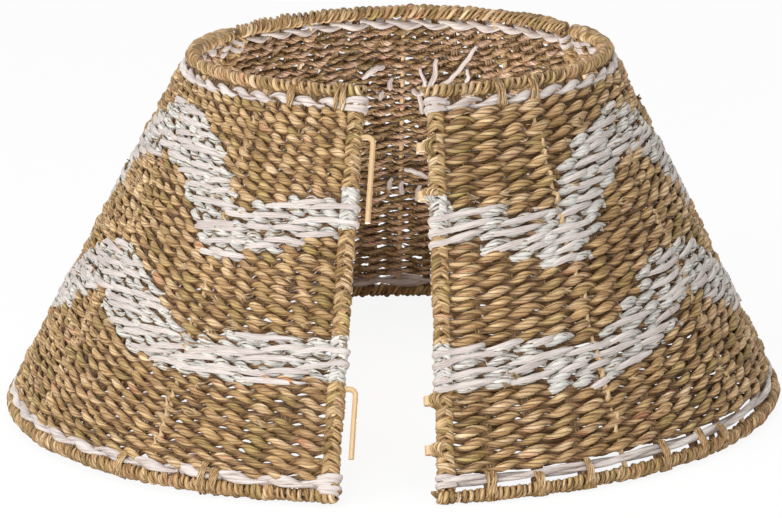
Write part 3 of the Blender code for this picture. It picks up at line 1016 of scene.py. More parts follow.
def shifted(mesh: Mesh, move: Callable[[np.ndarray], Sequence]) -> Mesh:
    """Move a mesh's points by a function.

    Args:
        mesh: The mesh, changed in place.
        move: Takes rows of coordinates and gives new X, Y and Z.

    Returns:
        The same mesh.
    """
    mesh.vertices.foreach_set("co", np.stack(move(read(mesh.vertices, "co", 3)),
                                                axis=1).ravel())
    return mesh


def meshed(graph: bmesh.types.BMesh, finish: Material) -> Mesh:
    """Turn edited geometry into a mesh.

    Args:
        graph: The geometry, which is used up.
        finish: The mesh's finish.

    Returns:
        The mesh.
    """
    mesh = bpy.data.meshes.new("strands")
    graph.to_mesh(mesh)
    graph.free()
    mesh.materials.append(finish)
    return mesh


def joined(meshes: Sequence[Mesh]) -> Mesh:
    """Join meshes of one finish into one.

    Args:
        meshes: The meshes, which are used up.

    Returns:
        The whole mesh.
    """
    graph = bmesh.new()
    finish = meshes[0].materials[0]
    for mesh in meshes:
        graph.from_mesh(mesh)
        bpy.data.meshes.remove(mesh)
    return meshed(graph, finish)


def facing_out(mesh: Mesh) -> np.ndarray:
    """Which faces of a flat mesh a brush reaches from the outside."""
    return read(mesh.polygons, "normal", 3)[:, 1] < 0.1


def hollowed(mesh: Mesh, crest: float, start: float = 0.66,
             wide: float = math.inf) -> Mesh:
    """Store how deep each point of a mesh lies between the lobes or windings, for painted shade
    there.

    Args:
        mesh: A flat mesh of the wall, or a winding round the Z axis.
        crest: Distance of the crests from the middle.
        start: Share of the crest below which the painted shade begins.
        wide: Distance of a winding's crests in X.

    Returns:
        The same mesh.
    """
    depth, curve = 0.50, 1.3
    points = read(mesh.vertices, "co", 3)
    lift = np.hypot(points[:, 1] / crest, points[:, 0] / wide)
    deep = np.clip((start - lift) / depth, 0, 1) ** curve
    mesh.attributes.new("hollow", "FLOAT", "POINT").data.foreach_set("value", deep)
    return mesh


# The zigzag bands, and places of single strands


@dataclass(frozen=True)
class Band:
    """One zigzag band: shares of the slant along half a panel, which the other half mirrors."""

    upper: Sequence[tuple[float, float]]
    lower: Sequence[tuple[float, float]]

    def holds(self, share: Reals, down: np.ndarray, shift: float) -> np.ndarray:
        """Whether places lie in the band.

        Args:
            share: Shares of the row.
            down: Shares of the slant.
            shift: How far down the slant this panel's band lies, as a share.

        Returns:
            One truth value for each place.
        """
        near = np.minimum(share, 1 - share)
        return ((down > np.interp(near, *zip(*self.upper)) + shift)
                & (down < np.interp(near, *zip(*self.lower)) + shift))


BANDS = (
    Band(((0, 0.252), (0.22, 0.325), (0.28, 0.24), (0.335, 0.17), (0.41, 0.115), (0.5, 0.10)),
         ((0, 0.355), (0.19, 0.442), (0.252, 0.462), (0.31, 0.405), (0.335, 0.335), (0.4, 0.275),
          (0.45, 0.25), (0.5, 0.238))),
    Band(((0, 0.62), (0.16, 0.635), (0.25, 0.655), (0.30, 0.62), (0.34, 0.57), (0.41, 0.51),
          (0.5, 0.48)),
         ((0, 0.735), (0.25, 0.758), (0.345, 0.735), (0.385, 0.70), (0.45, 0.65), (0.5, 0.612))))

# Ties, and the cord ends on the inside of the back panel, as shares of the row and of the
# slant. Some cord ends meet at one knot.
RIGHT_TIES = ((0.062, 0.976), (0.124, 0.98), (0.193, 0.975), (0.312, 0.968), (0.382, 0.973),
              (0.428, 0.966), (0.171, 0.089), (0.261, 0.072))
LEFT_TIES = ((0.831, 0.991), (0.847, 0.936), (0.704, 0.971), (0.834, 0.069), (0.957, 0.094))
KNOT = (0.457, 0.268)
BACK_MARKS = (((0.455, 0.335), KNOT, (0.41, 0.24), (0.378, 0.209), (0.34, 0.15),
               (0.307, 0.092)),
              (KNOT, (0.43, 0.21), (0.418, 0.144)),
              (KNOT, (0.452, 0.23), (0.46, 0.176)), (KNOT, (0.473, 0.25)),
              ((0.594, 0.208), (0.568, 0.185), (0.544, 0.171)),
              ((0.523, 0.211), (0.525, 0.25)), ((0.542, 0.256), (0.546, 0.284)),
              ((0.343, 0.175), (0.35, 0.217)), ((0.515, 0.569), (0.518, 0.609)),
              ((0.495, 0.58), (0.493, 0.625)), ((0.463, 0.595), (0.469, 0.65)),
              ((0.493, 0.536), (0.47, 0.555), (0.447, 0.569)))


# The pieces of a panel


@dataclass
class PanelWork:
    """Handwork on one panel: where it goes, what it is made with, and its own unevenness."""

    place: PanelPlace
    trees: Trees
    finishes: Finishes
    seed: int
    hand: float = 1.0
    band_shift: float = 0.0

    def __post_init__(self) -> None:
        """Start its own source of random draws."""
        self.draw = random.Random(self.seed)

    def in_bands(self, share: Reals, down: np.ndarray) -> np.ndarray:
        """Whether places, as shares of the row and of the slant, lie in a zigzag band."""
        return np.any([band.holds(share, down, self.band_shift) for band in BANDS], axis=0)

    def dress_painted(self, mesh: Mesh, mask: np.ndarray, bare: tuple, painted: tuple) -> None:
        """Part a mesh into bare and painted strands, and dress both.

        Args:
            mesh: The flat mesh, which is used up.
            mask: Which faces the paint covers.
            bare: Name of the bare piece, and the CAD pieces that it stands for.
            painted: The same for the painted piece.
        """
        for keep, finish, slot, (name, replaces) in (
                (~mask, self.finishes.seagrass, "natural_seagrass", bare),
                (mask, self.finishes.painted, "white_painted_seagrass", painted)):
            graph = bmesh.new()
            graph.from_mesh(mesh)
            away = [face for face, kept in zip(graph.faces, keep) if not kept]
            bmesh.ops.delete(graph, geom=away, context="FACES")
            self.place.dress(meshed(graph, finish), name, slot, replaces)
        bpy.data.meshes.remove(mesh)


@dataclass
class WovenWall(PanelWork):
    """Seagrass rows twined round the warps and stakes of one panel."""

    rows: int = 32
    lobes: int = 24
    more_lobes: int = 0
    steps: int = 7
    top: float = 0.0133
    bottom: float = 0.29044
    ply_turns: float = 1.0
    half_height: float = 0.0032
    half_depth: float = 0.0034
    waist: float = 0.25
    swing: float = 0.0023
    lift: float = 0.0035
    wander: tuple = (0.0100, 0.0026, 0.0056)
    swell: float = 0.17
    leaf: float = 0.06
    ride: float = 0.45
    jitter: float = 0.0010
    low_end: float = 0.6
    bundle: int = 4
    warp_radius: float = 0.0012
    warp_gap: float = 1.8 * 0.0012
    warp_wander: float = 0.0016
    # Share of the lobes' crest that the warps' painted shade is measured from.
    warp_crest: float = 0.6
    filler: float = 0.0
    stakes: int = 3
    paint_wander: float = 0.012
    paint_reach: float = -0.2

    FILLER = {"Steps": 3, "Swing": 0.0004, "Lift": 0.0006, "Ply Turns": 0.0,
              "Wander": (0.004, 0.0020, 0.0030), "Swell": 0.3, "Leaf": 0.0, "Ride": 0.3,
              "Jitter": 0.0008, "More Lobes": 0, "Low End": 1.0, "Waist": 0.0}

    @property
    def pitch(self) -> float:
        """Distance from row to row."""
        return (self.bottom - self.top) / self.rows

    def painted(self, mesh: Mesh) -> np.ndarray:
        """Find the faces that the paint covers: whole lobes whose middle is in a band.

        Args:
            mesh: The flat rows.

        Returns:
            One truth value for each face.
        """
        corners = read(mesh.loops, "vertex_index", kind=int)
        firsts = corners[read(mesh.polygons, "loop_start", kind=int)]
        share, drop, tone, front = (read(mesh.attributes[name].data, "value")[firsts]
                                    for name in ("oval", "drop", "tone", "front"))
        down = drop / self.place.shape.slant + (tone - 0.5) * self.paint_wander
        return self.in_bands(share, down) & (front > self.paint_reach) & facing_out(mesh)

    def build(self) -> None:
        """Weave the rows, part off the painted lobes, and add warps and loose fibres."""
        common = {**self.place.shape.row_inputs, "Finish": self.finishes.seagrass}
        # Crest of the lobes, from which the painted shade between them is measured.
        crest = self.lift + self.half_depth
        mesh = self.trees.rows.grow({**common, "First Drop": self.top + self.pitch / 2,
                                     "Ply Turns": self.ply_turns * self.hand}, self)
        self.dress_painted(hollowed(mesh, crest), self.painted(mesh),
                           ("seagrass_rows", ("woven_wall",)),
                           ("painted_lobes", ("upper_zigzag", "lower_zigzag")))
        warps = self.trees.warps.grow({
            **common, "Warps": self.lobes, "Steps": 2 * self.rows,
            "Stake Every": self.lobes // (self.stakes + 1), "End": self.place.shape.slant,
            "Gap": self.warp_gap, "Wander": self.warp_wander, "Half Height": self.warp_radius,
            "Half Depth": self.warp_radius, "Waist": 0.0}, self)
        self.place.dress(hollowed(warps, crest * self.warp_crest), "warps", "natural_seagrass")
        # Thin fibres in the gaps between rows. They lie deep, where the painted shade darkens
        # them most.
        if self.filler:
            thin = self.trees.rows.grow({
                **common, **self.FILLER, "Rows": self.rows - 1, "Half Height": self.filler,
                "Half Depth": self.filler, "First Drop": self.top + self.pitch}, self)
            self.place.dress(hollowed(thin, crest), "loose_fibres", "natural_seagrass")


@dataclass(frozen=True)
class Winding:
    """How one core is wound."""

    pitch: float
    half_height: float
    half_depth: float
    coil: float
    wander: float
    ply_turns: float = 1.0
    squash: float = 1.0
    strands: int = 2
    steps: int = 20
    waist: float = 0.45
    swell: float = 0.26
    # Share of the crest below which the painted shade begins.
    hollow_start: float = 0.88


TOP_WINDING = Winding(0.0055, 0.0030, 0.0027, 0.0034, 0.0031)
BOTTOM_WINDING = Winding(0.0045, 0.0025, 0.0027, 0.0034, 0.0031)
EDGE_WINDING = Winding(0.00866, 0.0031, 0.0026, 0.0035, 0.0028, ply_turns=0.0, squash=1.40)


@dataclass
class BoundRims(PanelWork):
    """Seagrass wound closely round the two rails and the two stiles of a panel."""

    sleeves: Sequence[float] = ()
    rim_shift: float = 0.0009
    rim_reach: float = 0.0040
    edge_start: float = 0.004
    hinge_room: tuple[float, float] = (-0.0036, -0.0020)
    plait: float = 0.36
    cover_places: tuple = ((0.0013, 0.0060), (0.0040, 0.0056), (0.0064, 0.0053))
    cover_half: float = 0.0075
    cover_foot: tuple[float, float] = (0.003, 0.0032)
    # Crest from which the painted shade between the cover strands is measured.
    cover_crest: float = 0.0045

    COVER_PARTS = (-1.0, -0.75, -0.45, -0.15, 0.15, 0.45, 0.75, 1.0)

    def wound(self, length: float, winding: Winding, hand: float, seed: int) -> Mesh:
        """Wind strands round a core of this length, down from the origin.

        Args:
            length: Length of the core.
            winding: How it is wound.
            hand: Sense of the windings.
            seed: Seed of the unevenness.

        Returns:
            The flat mesh.
        """
        mesh = self.trees.wound.grow({
            "Turns": length / winding.pitch / winding.strands, "Length": length, "Hand": hand,
            "Finish": self.finishes.seagrass, "Seed": seed}, winding)
        # Painted shade between the windings.
        return hollowed(mesh, winding.coil + winding.half_depth, winding.hollow_start,
                        winding.coil * winding.squash + winding.half_depth)

    def rim(self, name: str, drop: float, shift: float, winding: Winding, seed: int) -> None:
        """Wind one rim.

        Args:
            name: The CAD binding that it stands for.
            drop: Drop of the rail.
            shift: How much further down the windings lie.
            winding: How it is wound.
            seed: Seed of the unevenness.
        """
        eye, hook = self.place.stiles(drop)
        start, end = eye - self.rim_reach, hook + self.rim_reach
        mesh = self.wound(end - start, winding, self.hand, seed)
        shifted(mesh, lambda p: (start - p[:, 2], p[:, 1], p[:, 0] - drop - shift))
        self.place.dress(mesh, f"{name}_windings", "natural_seagrass", (name,))

    def edge(self, index: int, hand: float) -> Mesh:
        """Wind the strands of one hand that plait round a stile.

        Args:
            index: 0 for the eye stile, 1 for the hook stile.
            hand: Sense of the windings.

        Returns:
            The flat mesh, where each hand is on top along one half of the stile.
        """
        length = self.place.shape.slant - 2 * self.edge_start
        mesh = self.wound(length, EDGE_WINDING, hand, self.seed + 40 * index + int(hand))
        out = self.hinge_room[index] * (2 * index - 1)
        drops = self.edge_start - read(mesh.vertices, "co", 3)[:, 2]
        return shifted(mesh, lambda p: (p[:, 0] + self.place.stiles(drops)[index] + out,
                                        p[:, 1] - self.plait * hand * p[:, 0], -drops))

    def covers(self) -> Mesh:
        """Lay strands over the near half of each sleeve, outside and inside.

        Returns:
            The flat mesh.
        """
        paths = []
        for drop, (reach, lift), face in ((drop, place, face) for drop in self.sleeves
                                          for place in self.cover_places for face in (1, -1)):
            half = self.cover_half + self.draw.uniform(-0.001, 0.001)
            points = []
            for part in self.COVER_PARTS:
                down = drop + part * half
                near = 1 - abs(part) ** 2.5
                far = 1 - near
                points.append((self.place.stiles(down)[0] - reach * near
                               + self.cover_foot[0] * far,
                               face * (lift * near + self.cover_foot[1] * far), down))
            paths.append(Path(points, self.draw.random()))
        mesh = self.trees.free.lay(paths, self.finishes.seagrass, 0.0016, 0.0012, 0.2, 250.0)
        # Painted shade between the cover strands.
        return hollowed(mesh, self.cover_crest)

    def build(self) -> None:
        """Wind both rims and both edges."""
        slant = self.place.shape.slant
        self.rim("top_binding", 0.0, -self.rim_shift, TOP_WINDING, self.seed)
        self.rim("bottom_binding", slant, self.rim_shift, BOTTOM_WINDING, self.seed + 1)
        mesh = joined([self.covers(), *(self.edge(index, hand) for index in (0, 1)
                                        for hand in (1.0, -1.0))])
        down = -read(mesh.polygons, "center", 3)[:, 2] / slant
        self.dress_painted(mesh, self.in_bands(0.0, down) & facing_out(mesh),
                           ("edge_windings", ()), ("painted_windings", ()))


def loop_round(place: PanelPlace, side: int, drop: float, climb: float) -> list:
    """Points of a cord that leads from the outside of the wall round a stile to its inside.

    Args:
        place: The panel.
        side: 0 for the eye stile, 1 for the hook stile.
        drop: Drop of the cord.
        climb: How much further down it is on the inside.

    Returns:
        Points of flat X, lift and drop.
    """
    stile = place.stiles(drop)[side]
    reach = (0.0037, 0.0058)[side]
    around = ((-0.0045, 0.0056), (0.2 * reach, 0.0060), (0.75 * reach, 0.0046), (reach, 0.0016),
              (reach, -0.0020), (0.7 * reach, -0.0048), (0.0, -0.0058), (-0.0060, -0.0040))
    return [(stile + (2 * side - 1) * x, lift, drop + climb * number / (len(around) - 1))
            for number, (x, lift) in enumerate(around)]


@dataclass
class PaperCordRows(PanelWork):
    """A twisted pair of paper cords under the top rim and another above the bottom rim."""

    top_drop: float = 0.0102
    bottom_drop: float = 0.2955
    top_lobes: int = 13
    bottom_lobes: int = 14
    top_swing: float = 0.0024
    bottom_swing: float = 0.0016
    top_half_height: float = 0.0030
    bottom_half_height: float = 0.0031
    lift: float = 0.0036

    PAIR = {"Rows": 1, "Steps": 16, "Pitch": 0.0, "Wander": (0.006, 0.0018, 0.0030),
            "Swell": 0.10, "Leaf": 0.06, "Ride": 0.15, "Jitter": 0.0004, "More Lobes": 0,
            "Low End": 1.0, "Half Depth": 0.0023, "Waist": 0.1}

    def row(self, name: str, drop: float, lobes: int, half_height: float, swing: float) -> None:
        """Twist one row, and lead its ends round the stiles.

        Args:
            name: The CAD cord that it stands for.
            drop: Drop of the row.
            lobes: Half turns of the pair.
            half_height: Half height of each cord.
            swing: How far the cords climb and fall.
        """
        pair = self.trees.rows.grow({
            **self.place.shape.row_inputs, **self.PAIR, "Finish": self.finishes.cord,
            "Lobes": lobes, "First Drop": drop, "Swing": swing, "Ply Turns": self.hand,
            "Half Height": half_height}, self)
        loops = []
        for side in (0, 1):
            for step in (-0.6, 0.5):
                around = loop_round(self.place, side, drop + step * half_height * 2, 0.002)
                x, lift, down = around[0]
                around.insert(0, (x - (2 * side - 1) * 0.006, lift - 0.0022,
                                  down - step * 0.002))
                loops.append(Path(around if side else around[::-1]))
        ends = self.trees.level.lay(loops, self.finishes.cord, half_height * 0.9, 0.0011, 0.1)
        self.place.dress(joined([pair, ends]), f"{name}_pair", "white_paper_cord", (name,))

    def build(self) -> None:
        """Twist both rows."""
        self.row("top_cord", self.top_drop, self.top_lobes, self.top_half_height,
                 self.top_swing)
        self.row("bottom_cord", self.bottom_drop, self.bottom_lobes, self.bottom_half_height,
                 self.bottom_swing)


@dataclass
class LooseStrands(PanelWork):
    """Ties round the rims, cut strand ends on the wall, and cord ends on its inside."""

    seams: Sequence[float] = ()
    stake_shares: tuple = (0.25, 0.5, 0.75)
    ties: Sequence[tuple[float, float]] = ()
    marks: Sequence[Sequence[tuple[float, float]]] = ()
    parted: float = 0.55
    tufts: int = 34
    tuft_ends: int = 5
    tuft_drops: tuple[float, float] = (0.03, 0.27)
    tuft_shares: tuple[float, float] = (0.04, 0.96)
    tuft_reach: tuple[float, float] = (0.006, 0.011)
    tuft_rise: float = 0.004
    glimpse_half: float = 0.0034

    TIE_HEAD = ((0.0125, 0.0), (0.0105, 0.0048))
    TIE_LOOP = ((0.007, 0.0066), (0.0035, 0.0068), (0.0, 0.0064), (-0.0058, 0.003),
                (-0.0060, -0.003), (0.0, -0.006), (0.008, -0.005))
    GLIMPSE = ((-1.0, 0.0010), (-0.5, 0.0042), (0.5, 0.0046), (1.0, 0.0010))

    def tie(self, share: float, foot: bool) -> list[Path]:
        """Bundle of strands that holds the wall to a rim.

        Args:
            share: Share of the row.
            foot: Whether it goes round the bottom rim.

        Returns:
            Its strands.
        """
        rim = self.place.shape.slant if foot else 0.0
        way = 1 if foot else -1
        draw = self.draw
        high = draw.choice((0.0, 0.004)) if foot else 0.003
        gap = 0.0019 if foot else 0.0022
        head = [(back + high, lift) for back, lift in self.TIE_HEAD]
        paths = []
        for strand in (-1, 0, 1):
            beside = strand * gap + draw.uniform(-5e-4, 5e-4)
            lean = draw.uniform(-0.1, 0.1)
            points = []
            for back, lift in (*head, *self.TIE_LOOP):
                drop = rim - way * (back + draw.uniform(-5e-4, 5e-4))
                points.append((self.place.flat_x(share, drop) + beside + lean * back, lift,
                               drop))
            paths.append(Path(points, draw.uniform(0.4, 0.9)))
        return paths

    def tuft(self) -> list[Path]:
        """Draw the cut ends of a strand that stand off the wall.

        Returns:
            The ends.
        """
        draw = self.draw
        drop = draw.uniform(*self.tuft_drops)
        x = self.place.flat_x(draw.uniform(*self.tuft_shares), drop)
        way = draw.choice((-1, 1))
        paths = []
        for _ in range(self.tuft_ends):
            rise = draw.uniform(-self.tuft_rise, self.tuft_rise)
            reach = way * draw.uniform(*self.tuft_reach)
            points = [(x, 0.0025, drop), (x + reach * 0.4, 0.0048, drop + rise * 0.3),
                      (x + reach, 0.0060 + draw.uniform(0, 0.0016), drop + rise)]
            paths.append(Path(points, draw.uniform(0.6, 0.95), [0.55, 0.6, 0.4]))
        return paths

    def glimpse(self, share: float, drop: float) -> Path:
        """Draw a short stretch of a stake, where the rows part in front of it.

        Args:
            share: Share of the row.
            drop: Drop of its middle.

        Returns:
            The stretch.
        """
        downs = [drop + part * self.glimpse_half for part, _ in self.GLIMPSE]
        return Path([(self.place.flat_x(share, down), lift, down)
                     for down, (_, lift) in zip(downs, self.GLIMPSE)])

    def mark(self, places: Sequence[tuple[float, float]]) -> Path:
        """Cord on the inside of the wall, bent across its run.

        Args:
            places: Shares of the row and of the slant.

        Returns:
            The cord.
        """
        fine = 4
        steps = fine * (len(places) - 1)
        bow = self.draw.uniform(0.0015, 0.0035) * self.draw.choice((-1, 1))
        (first, high), (last, low) = places[0], places[-1]
        level = abs(last - first) > abs(low - high)
        points, girths = [], []
        for step in range(steps + 1):
            share, down = (float(np.interp(step / fine, range(len(places)), values))
                           for values in zip(*places))
            swell = math.sin(step / steps * math.pi)
            bend = bow * swell + 0.0006 * math.sin(2.1 * step)
            drop = down * self.place.shape.slant + bend * level
            points.append((self.place.flat_x(share, drop) + bend * (not level),
                           -0.0058 - 0.0018 * swell ** 0.5, drop))
            girths.append(0.70 + 0.30 * swell ** 0.5)
        return Path(points, 0.4, girths)

    def build(self) -> None:
        """Add the loose strands that this panel has."""
        paths = [path for _ in range(self.tufts) for path in self.tuft()]
        for share, down in self.ties:
            paths += self.tie(share, down > 0.5)
        mesh = self.trees.free.lay(paths, self.finishes.seagrass, 0.0018, 0.0014, 0.2, 200.0)
        self.place.dress(mesh, "ties_and_cut_ends", "natural_seagrass")
        bare = [self.glimpse(share + self.draw.uniform(-0.004, 0.004), drop)
                for share in self.stake_shares for drop in self.seams
                if self.draw.random() < self.parted]
        mesh = self.trees.level.lay(bare, self.finishes.steel, 0.0019, 0.0019, 0.0)
        self.place.dress(mesh, "stake_glimpses", "powder_coated_steel")
        if self.marks:
            cords = [self.mark(places) for places in self.marks]
            mesh = self.trees.free.lay(cords, self.finishes.cord, 0.0026, 0.0020, 0.1)
            self.place.dress(mesh, "inner_cord_ends", "white_paper_cord")


@dataclass
class ZigzagCords(PanelWork):
    """Paper cords laid along the rows in the zigzag bands."""

    row_drops: Sequence[float] = ()
    row_pitch: float = 0.0087
    sleeves: Sequence[float] = ()
    sleeve_room: float = 0.007
    half_height: float = 0.0023
    half_depth: float = 0.0011
    lift: float = 0.0069
    step: float = 0.004
    slopes: tuple[float, float] = (0.2, 1.1)
    level_length: tuple[float, float] = (0.030, 0.062)
    steep_length: tuple[float, float] = (0.018, 0.032)
    steep_run: float = 0.045
    shortest: float = 0.010
    edge_room: float = 0.006
    turned_length: float = 0.026
    left_out: float = 0.1
    bow: float = 0.0022
    wave: float = 0.0004
    wander: float = 0.0026
    last_gap: float = 0.014
    overlap: tuple[float, float] = (0.004, 0.014)
    loop_climb: float = 0.003
    loop_room: float = 0.009

    def cord(self, start: float, end: float, drop: float) -> Path:
        """One cord that comes out of the wall, crosses a few lobes and goes in again.

        Args:
            start: Flat X of its left end.
            end: Flat X of its right end.
            drop: Drop of its middle.

        Returns:
            The path.
        """
        draw = self.draw
        steps = max(6, round((end - start) / self.step))
        slope = self.hand * self.row_pitch * draw.uniform(*self.slopes)
        bow = draw.uniform(-self.bow, self.bow)
        turn = draw.uniform(0, math.tau)
        points, girths = [], []
        for count in range(steps + 1):
            part = count / steps
            swell = math.sin(part * math.pi) ** 0.5
            wave = self.wave * math.sin(part * steps * 0.6 + turn)
            points.append((start + (end - start) * part, self.lift * swell + wave - self.wave,
                           drop + slope * (0.5 - part) + bow * swell + wave))
            girths.append((0.30 + 0.76 * swell) * draw.uniform(0.93, 1.07))
        return Path(points, draw.random(), girths)

    def turned(self, cord: Path, side: int) -> Path:
        """Lead a cord round the stile at one of its ends.

        Args:
            cord: A cord that ends at a stile.
            side: 0 for the eye stile, 1 for the hook stile.

        Returns:
            The longer cord.
        """
        drop = cord.points[-side][2]
        stile = self.place.stiles(drop)[side]
        way = 1 - 2 * side
        loop = loop_round(self.place, side, drop, self.loop_climb)
        kept = [(point, girth) for point, girth in zip(cord.points, cord.girths)
                if (point[0] - stile) * way > self.loop_room]
        around = [(point, 1.0) for point in loop[::-way]]
        points, girths = zip(*(around + kept if side == 0 else kept + around))
        return Path(points, cord.tone, list(girths))

    def run(self, start: float, end: float, drop: float) -> list[Path]:
        """Cords one after the other along a stretch of a row.

        Args:
            start: Flat X where the stretch begins.
            end: Flat X where it ends.
            drop: Drop of the row.

        Returns:
            The cords.
        """
        draw = self.draw
        eye, hook = self.place.stiles(drop)
        inner_eye, inner_hook = eye + self.edge_room, hook - self.edge_room
        lengths = self.steep_length if end - start < self.steep_run else self.level_length
        free = all(abs(drop - sleeve) > self.sleeve_room for sleeve in self.sleeves)
        found = []
        x = start + draw.uniform(-0.006, 0.004)
        while end - x > self.shortest:
            stop = x + draw.uniform(*lengths)
            if end - stop < self.last_gap:
                stop = end + draw.uniform(-0.003, 0.004)
            stop = min(stop, hook)
            cord = self.cord(max(x, eye), stop,
                             drop + draw.uniform(-self.wander, self.wander))
            long = stop - max(x, eye) > self.turned_length
            if x <= inner_eye and free and long:
                cord = self.turned(cord, 0)
            if stop >= inner_hook and free and long:
                cord = self.turned(cord, 1)
            if draw.random() > self.left_out and (long or inner_eye < x and stop < inner_hook):
                found.append(cord)
            x = stop - draw.uniform(*self.overlap)
            if stop >= end - 0.004:
                break
        return found

    def build(self) -> None:
        """Lay cords on every row that a band crosses."""
        shares = np.linspace(0, 1, 601)
        paths = []
        for drop in self.row_drops:
            xs = self.place.flat_x(shares, drop)
            down = np.full(len(shares), drop / self.place.shape.slant)
            for band in BANDS:
                held = band.holds(shares, down, self.band_shift)
                bounds = np.flatnonzero(np.diff(np.concatenate([[0], held.astype(int), [0]])))
                for left, right in zip(bounds[::2], bounds[1::2]):
                    paths += self.run(xs[left], xs[right - 1], drop)
        mesh = self.trees.level.lay(paths, self.finishes.cord, self.half_height,
                                    self.half_depth, 0.1)
        self.place.dress(mesh, "zigzag_cords", "white_paper_cord")


@dataclass
class Panel(PanelWork):
    """One panel: its wall, rims, cord rows, loose strands and zigzag, each with its sizes."""

    wall: dict = field(default_factory=dict)
    cords: dict = field(default_factory=dict)
    cord_hand: float = 1.0
    loose: dict = field(default_factory=dict)
    zigzag: dict = field(default_factory=dict)
    upper_sleeve: float = 0.042
    sleeve_pitch: float = 0.037
    lowest_sleeve_rise: float = 0.0348

    @property
    def sleeves(self) -> tuple[float, ...]:
        """Drops of the four sleeves' middles."""
        lowest = self.place.shape.slant - self.lowest_sleeve_rise
        return (self.upper_sleeve, self.upper_sleeve + self.sleeve_pitch,
                lowest - self.sleeve_pitch, lowest)

    def build(self) -> None:
        """Build every piece of the panel."""
        common = (self.place, self.trees, self.finishes)
        lay = (self.hand, self.band_shift)
        wall = WovenWall(*common, self.seed, *lay, **self.wall)
        wall.build()
        BoundRims(*common, self.seed + 40, *lay, sleeves=self.sleeves).build()
        PaperCordRows(*common, self.seed + 80, self.hand * self.cord_hand, **self.cords).build()
        seams = [wall.top + wall.pitch * row for row in range(2, wall.rows - 1)]
        LooseStrands(*common, self.seed + 120, seams=seams, **self.loose).build()
        drops = [wall.top + wall.pitch * (row + 0.5) for row in range(wall.rows)]
        ZigzagCords(*common, self.seed + 90, *lay, row_drops=drops, row_pitch=wall.pitch,
                    sleeves=self.sleeves, **self.zigzag).build()


PANELS = {
    Side.RIGHT: {
        "seed": 101, "band_shift": 0.010,
        "wall": {"lobes": 16, "more_lobes": 9, "steps": 11, "leaf": 0.14, "filler": 0.0011},
        "cords": {"bottom_lobes": 8, "bottom_half_height": 0.002635},
        "loose": {"ties": RIGHT_TIES}},
    Side.BACK: {
        "seed": 202, "cord_hand": -1.0,
        "wall": {"ply_turns": 2.0, "half_height": 0.0025, "half_depth": 0.0029,
                 "swing": 0.0019, "lift": 0.0027, "bundle": 3, "jitter": 0.0024},
        "cords": {"top_lobes": 14},
        "loose": {"marks": BACK_MARKS}},
    Side.LEFT: {
        "seed": 303, "hand": -1.0, "band_shift": -0.008,
        "wall": {"rows": 37, "lobes": 28, "bottom": 0.2965, "steps": 6, "half_height": 0.0027,
                 "half_depth": 0.0030, "leaf": 0.08, "swing": 0.0027, "filler": 0.0013},
        "cords": {"top_lobes": 16, "bottom_drop": 0.2988, "bottom_lobes": 16,
                  "bottom_half_height": 0.00403},
        "loose": {"ties": LEFT_TIES},
        "zigzag": {"half_height": 0.0022, "slopes": (-0.7, 0.35)}}}


# The studio


@dataclass(frozen=True)
class Softbox:
    """A square lamp that faces the middle of the floor, unless it has a turn of its own."""

    name: str
    place: tuple
    size: float
    power: float
    turn: tuple = ()

    def hang(self) -> Object:
        """Add the lamp to the scene.

        Returns:
            The lamp.
        """
        data = bpy.data.lights.new(self.name, "AREA")
        data.size = self.size
        data.energy = self.power
        lamp = added(self.name, data)
        lamp.location = self.place
        lamp.rotation_euler = self.turn or (
            -Vector(self.place)).to_track_quat("-Z", "Y").to_euler()
        return lamp


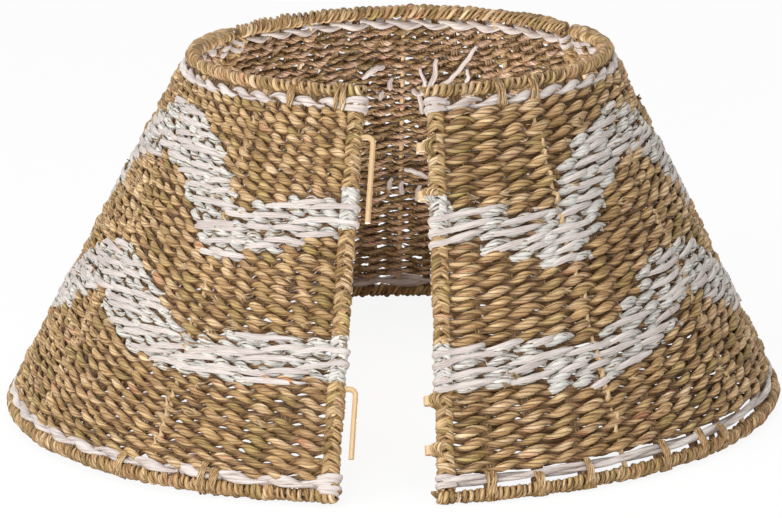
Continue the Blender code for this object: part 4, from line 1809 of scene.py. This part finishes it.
@dataclass
class Studio:
    """Pale floor, white surroundings, soft lights and the camera of the photograph."""

    middle: Vector
    distance: float = 3.1847
    height: float = 0.9108
    yaw: float = -0.679
    pitch: float = 14.14
    roll: float = -0.946
    lens: float = 188.9
    floor_size: float = 14.0
    floor_grey: float = 0.9
    floor_glow: float = 0.9
    room_light: float = 0.62

    LAMPS = (Softbox("key", (-2.3, -1.8, 1.6), 1.2, 39),
             Softbox("front", (-0.5, -3.0, 1.0), 0.9, 28),
             Softbox("low", (-0.3, -1.5, 0.2), 0.3, 3.0),
             Softbox("top", (0.1, -0.3, 2.8), 1.4, 20))
    REFLECTOR = Softbox("reflector", (0.0, -0.02, 0.01), 0.24, 1.3, (math.pi, 0.0, 0.0))

    def camera(self) -> None:
        """Place the camera."""
        data = bpy.data.cameras.new("camera")
        data.sensor_width = 36
        data.lens = self.lens
        camera = added("camera", data)
        around = Matrix.Rotation(math.radians(-self.yaw), 4, "Z")
        place = (Matrix.Translation((self.middle.x, self.middle.y, 0)) @ around
                 @ Matrix.Translation((0, -self.distance, self.height)))
        aim = (Matrix.Rotation(math.radians(90 - self.pitch), 4, "X")
               @ Matrix.Rotation(math.radians(self.roll), 4, "Z"))
        camera.matrix_world = place @ aim
        bpy.context.scene.camera = camera

    def floor(self) -> None:
        """Lay the floor: white to the camera, with the object's soft shadow."""
        bpy.ops.mesh.primitive_plane_add(size=self.floor_size)
        floor = bpy.context.object
        floor.name = "floor"
        material = bpy.data.materials.new("white_studio_floor")
        material.use_nodes = True
        tree = material.node_tree
        tree.nodes.clear()
        seen = add_node(tree, "ShaderNodeLightPath").outputs["Is Camera Ray"]
        matt = add_node(tree, "ShaderNodeBsdfDiffuse", {"Color": (*[self.floor_grey] * 3, 1.0)})
        glow = add_node(tree, "ShaderNodeEmission", {"Color": WHITE, "Strength": 1.0})
        part = add_node(tree, MATH, (seen, self.floor_glow), operation="MULTIPLY")
        mix = add_node(tree, "ShaderNodeMixShader", (part, matt, glow))
        add_node(tree, "ShaderNodeOutputMaterial", (mix,))
        floor.data.materials.append(material)

    def surroundings(self) -> None:
        """Light the room evenly, and show it white."""
        world = bpy.data.worlds.new("studio")
        bpy.context.scene.world = world
        world.use_nodes = True
        tree = world.node_tree
        tree.nodes.clear()
        rays = add_node(tree, "ShaderNodeLightPath").outputs
        seen = rays["Is Camera Ray"]
        for ray in ("Is Glossy Ray", "Is Transmission Ray"):
            seen = add_node(tree, MATH, (seen, rays[ray]), operation="MAXIMUM")
        soft, white = (add_node(tree, "ShaderNodeBackground", (WHITE, strength))
                       for strength in (self.room_light, 1.0))
        mix = add_node(tree, "ShaderNodeMixShader", (seen, soft, white))
        add_node(tree, "ShaderNodeOutputWorld", (mix,))

    def lights(self) -> None:
        """Hang the lamps round the collar, and lay a card inside it that lights its wall."""
        for lamp in self.LAMPS:
            lamp.hang()
        self.REFLECTOR.hang().visible_camera = False

    def build(self) -> None:
        """Set the studio up."""
        self.camera()
        self.floor()
        self.surroundings()
        self.lights()
        bpy.context.scene.view_settings.view_transform = "Standard"


def dress_wire(finish: Material) -> None:
    """Give the wire frame, the hooks and the sleeves their powder coat.

    Args:
        finish: The powder coat.
    """
    for node in frame["nodes"].values():
        for slot in node.material_slots:
            slot.material = finish


def main() -> None:
    """Build the collar on its frame, and the studio round it."""
    logging.basicConfig(level=logging.INFO, format="%(message)s")
    shape = CollarShape()
    joints = frame["joints"]
    stand = standing_place(shape, joints)
    finishes = Finishes.make()
    dress_wire(finishes.steel)
    trees = Trees()
    for side, sizes in PANELS.items():
        Panel(PanelPlace(shape, side, stand, joints), trees, finishes, **sizes).build()
    Studio(stand.translation).build()


if __name__ == "__main__":
    main()
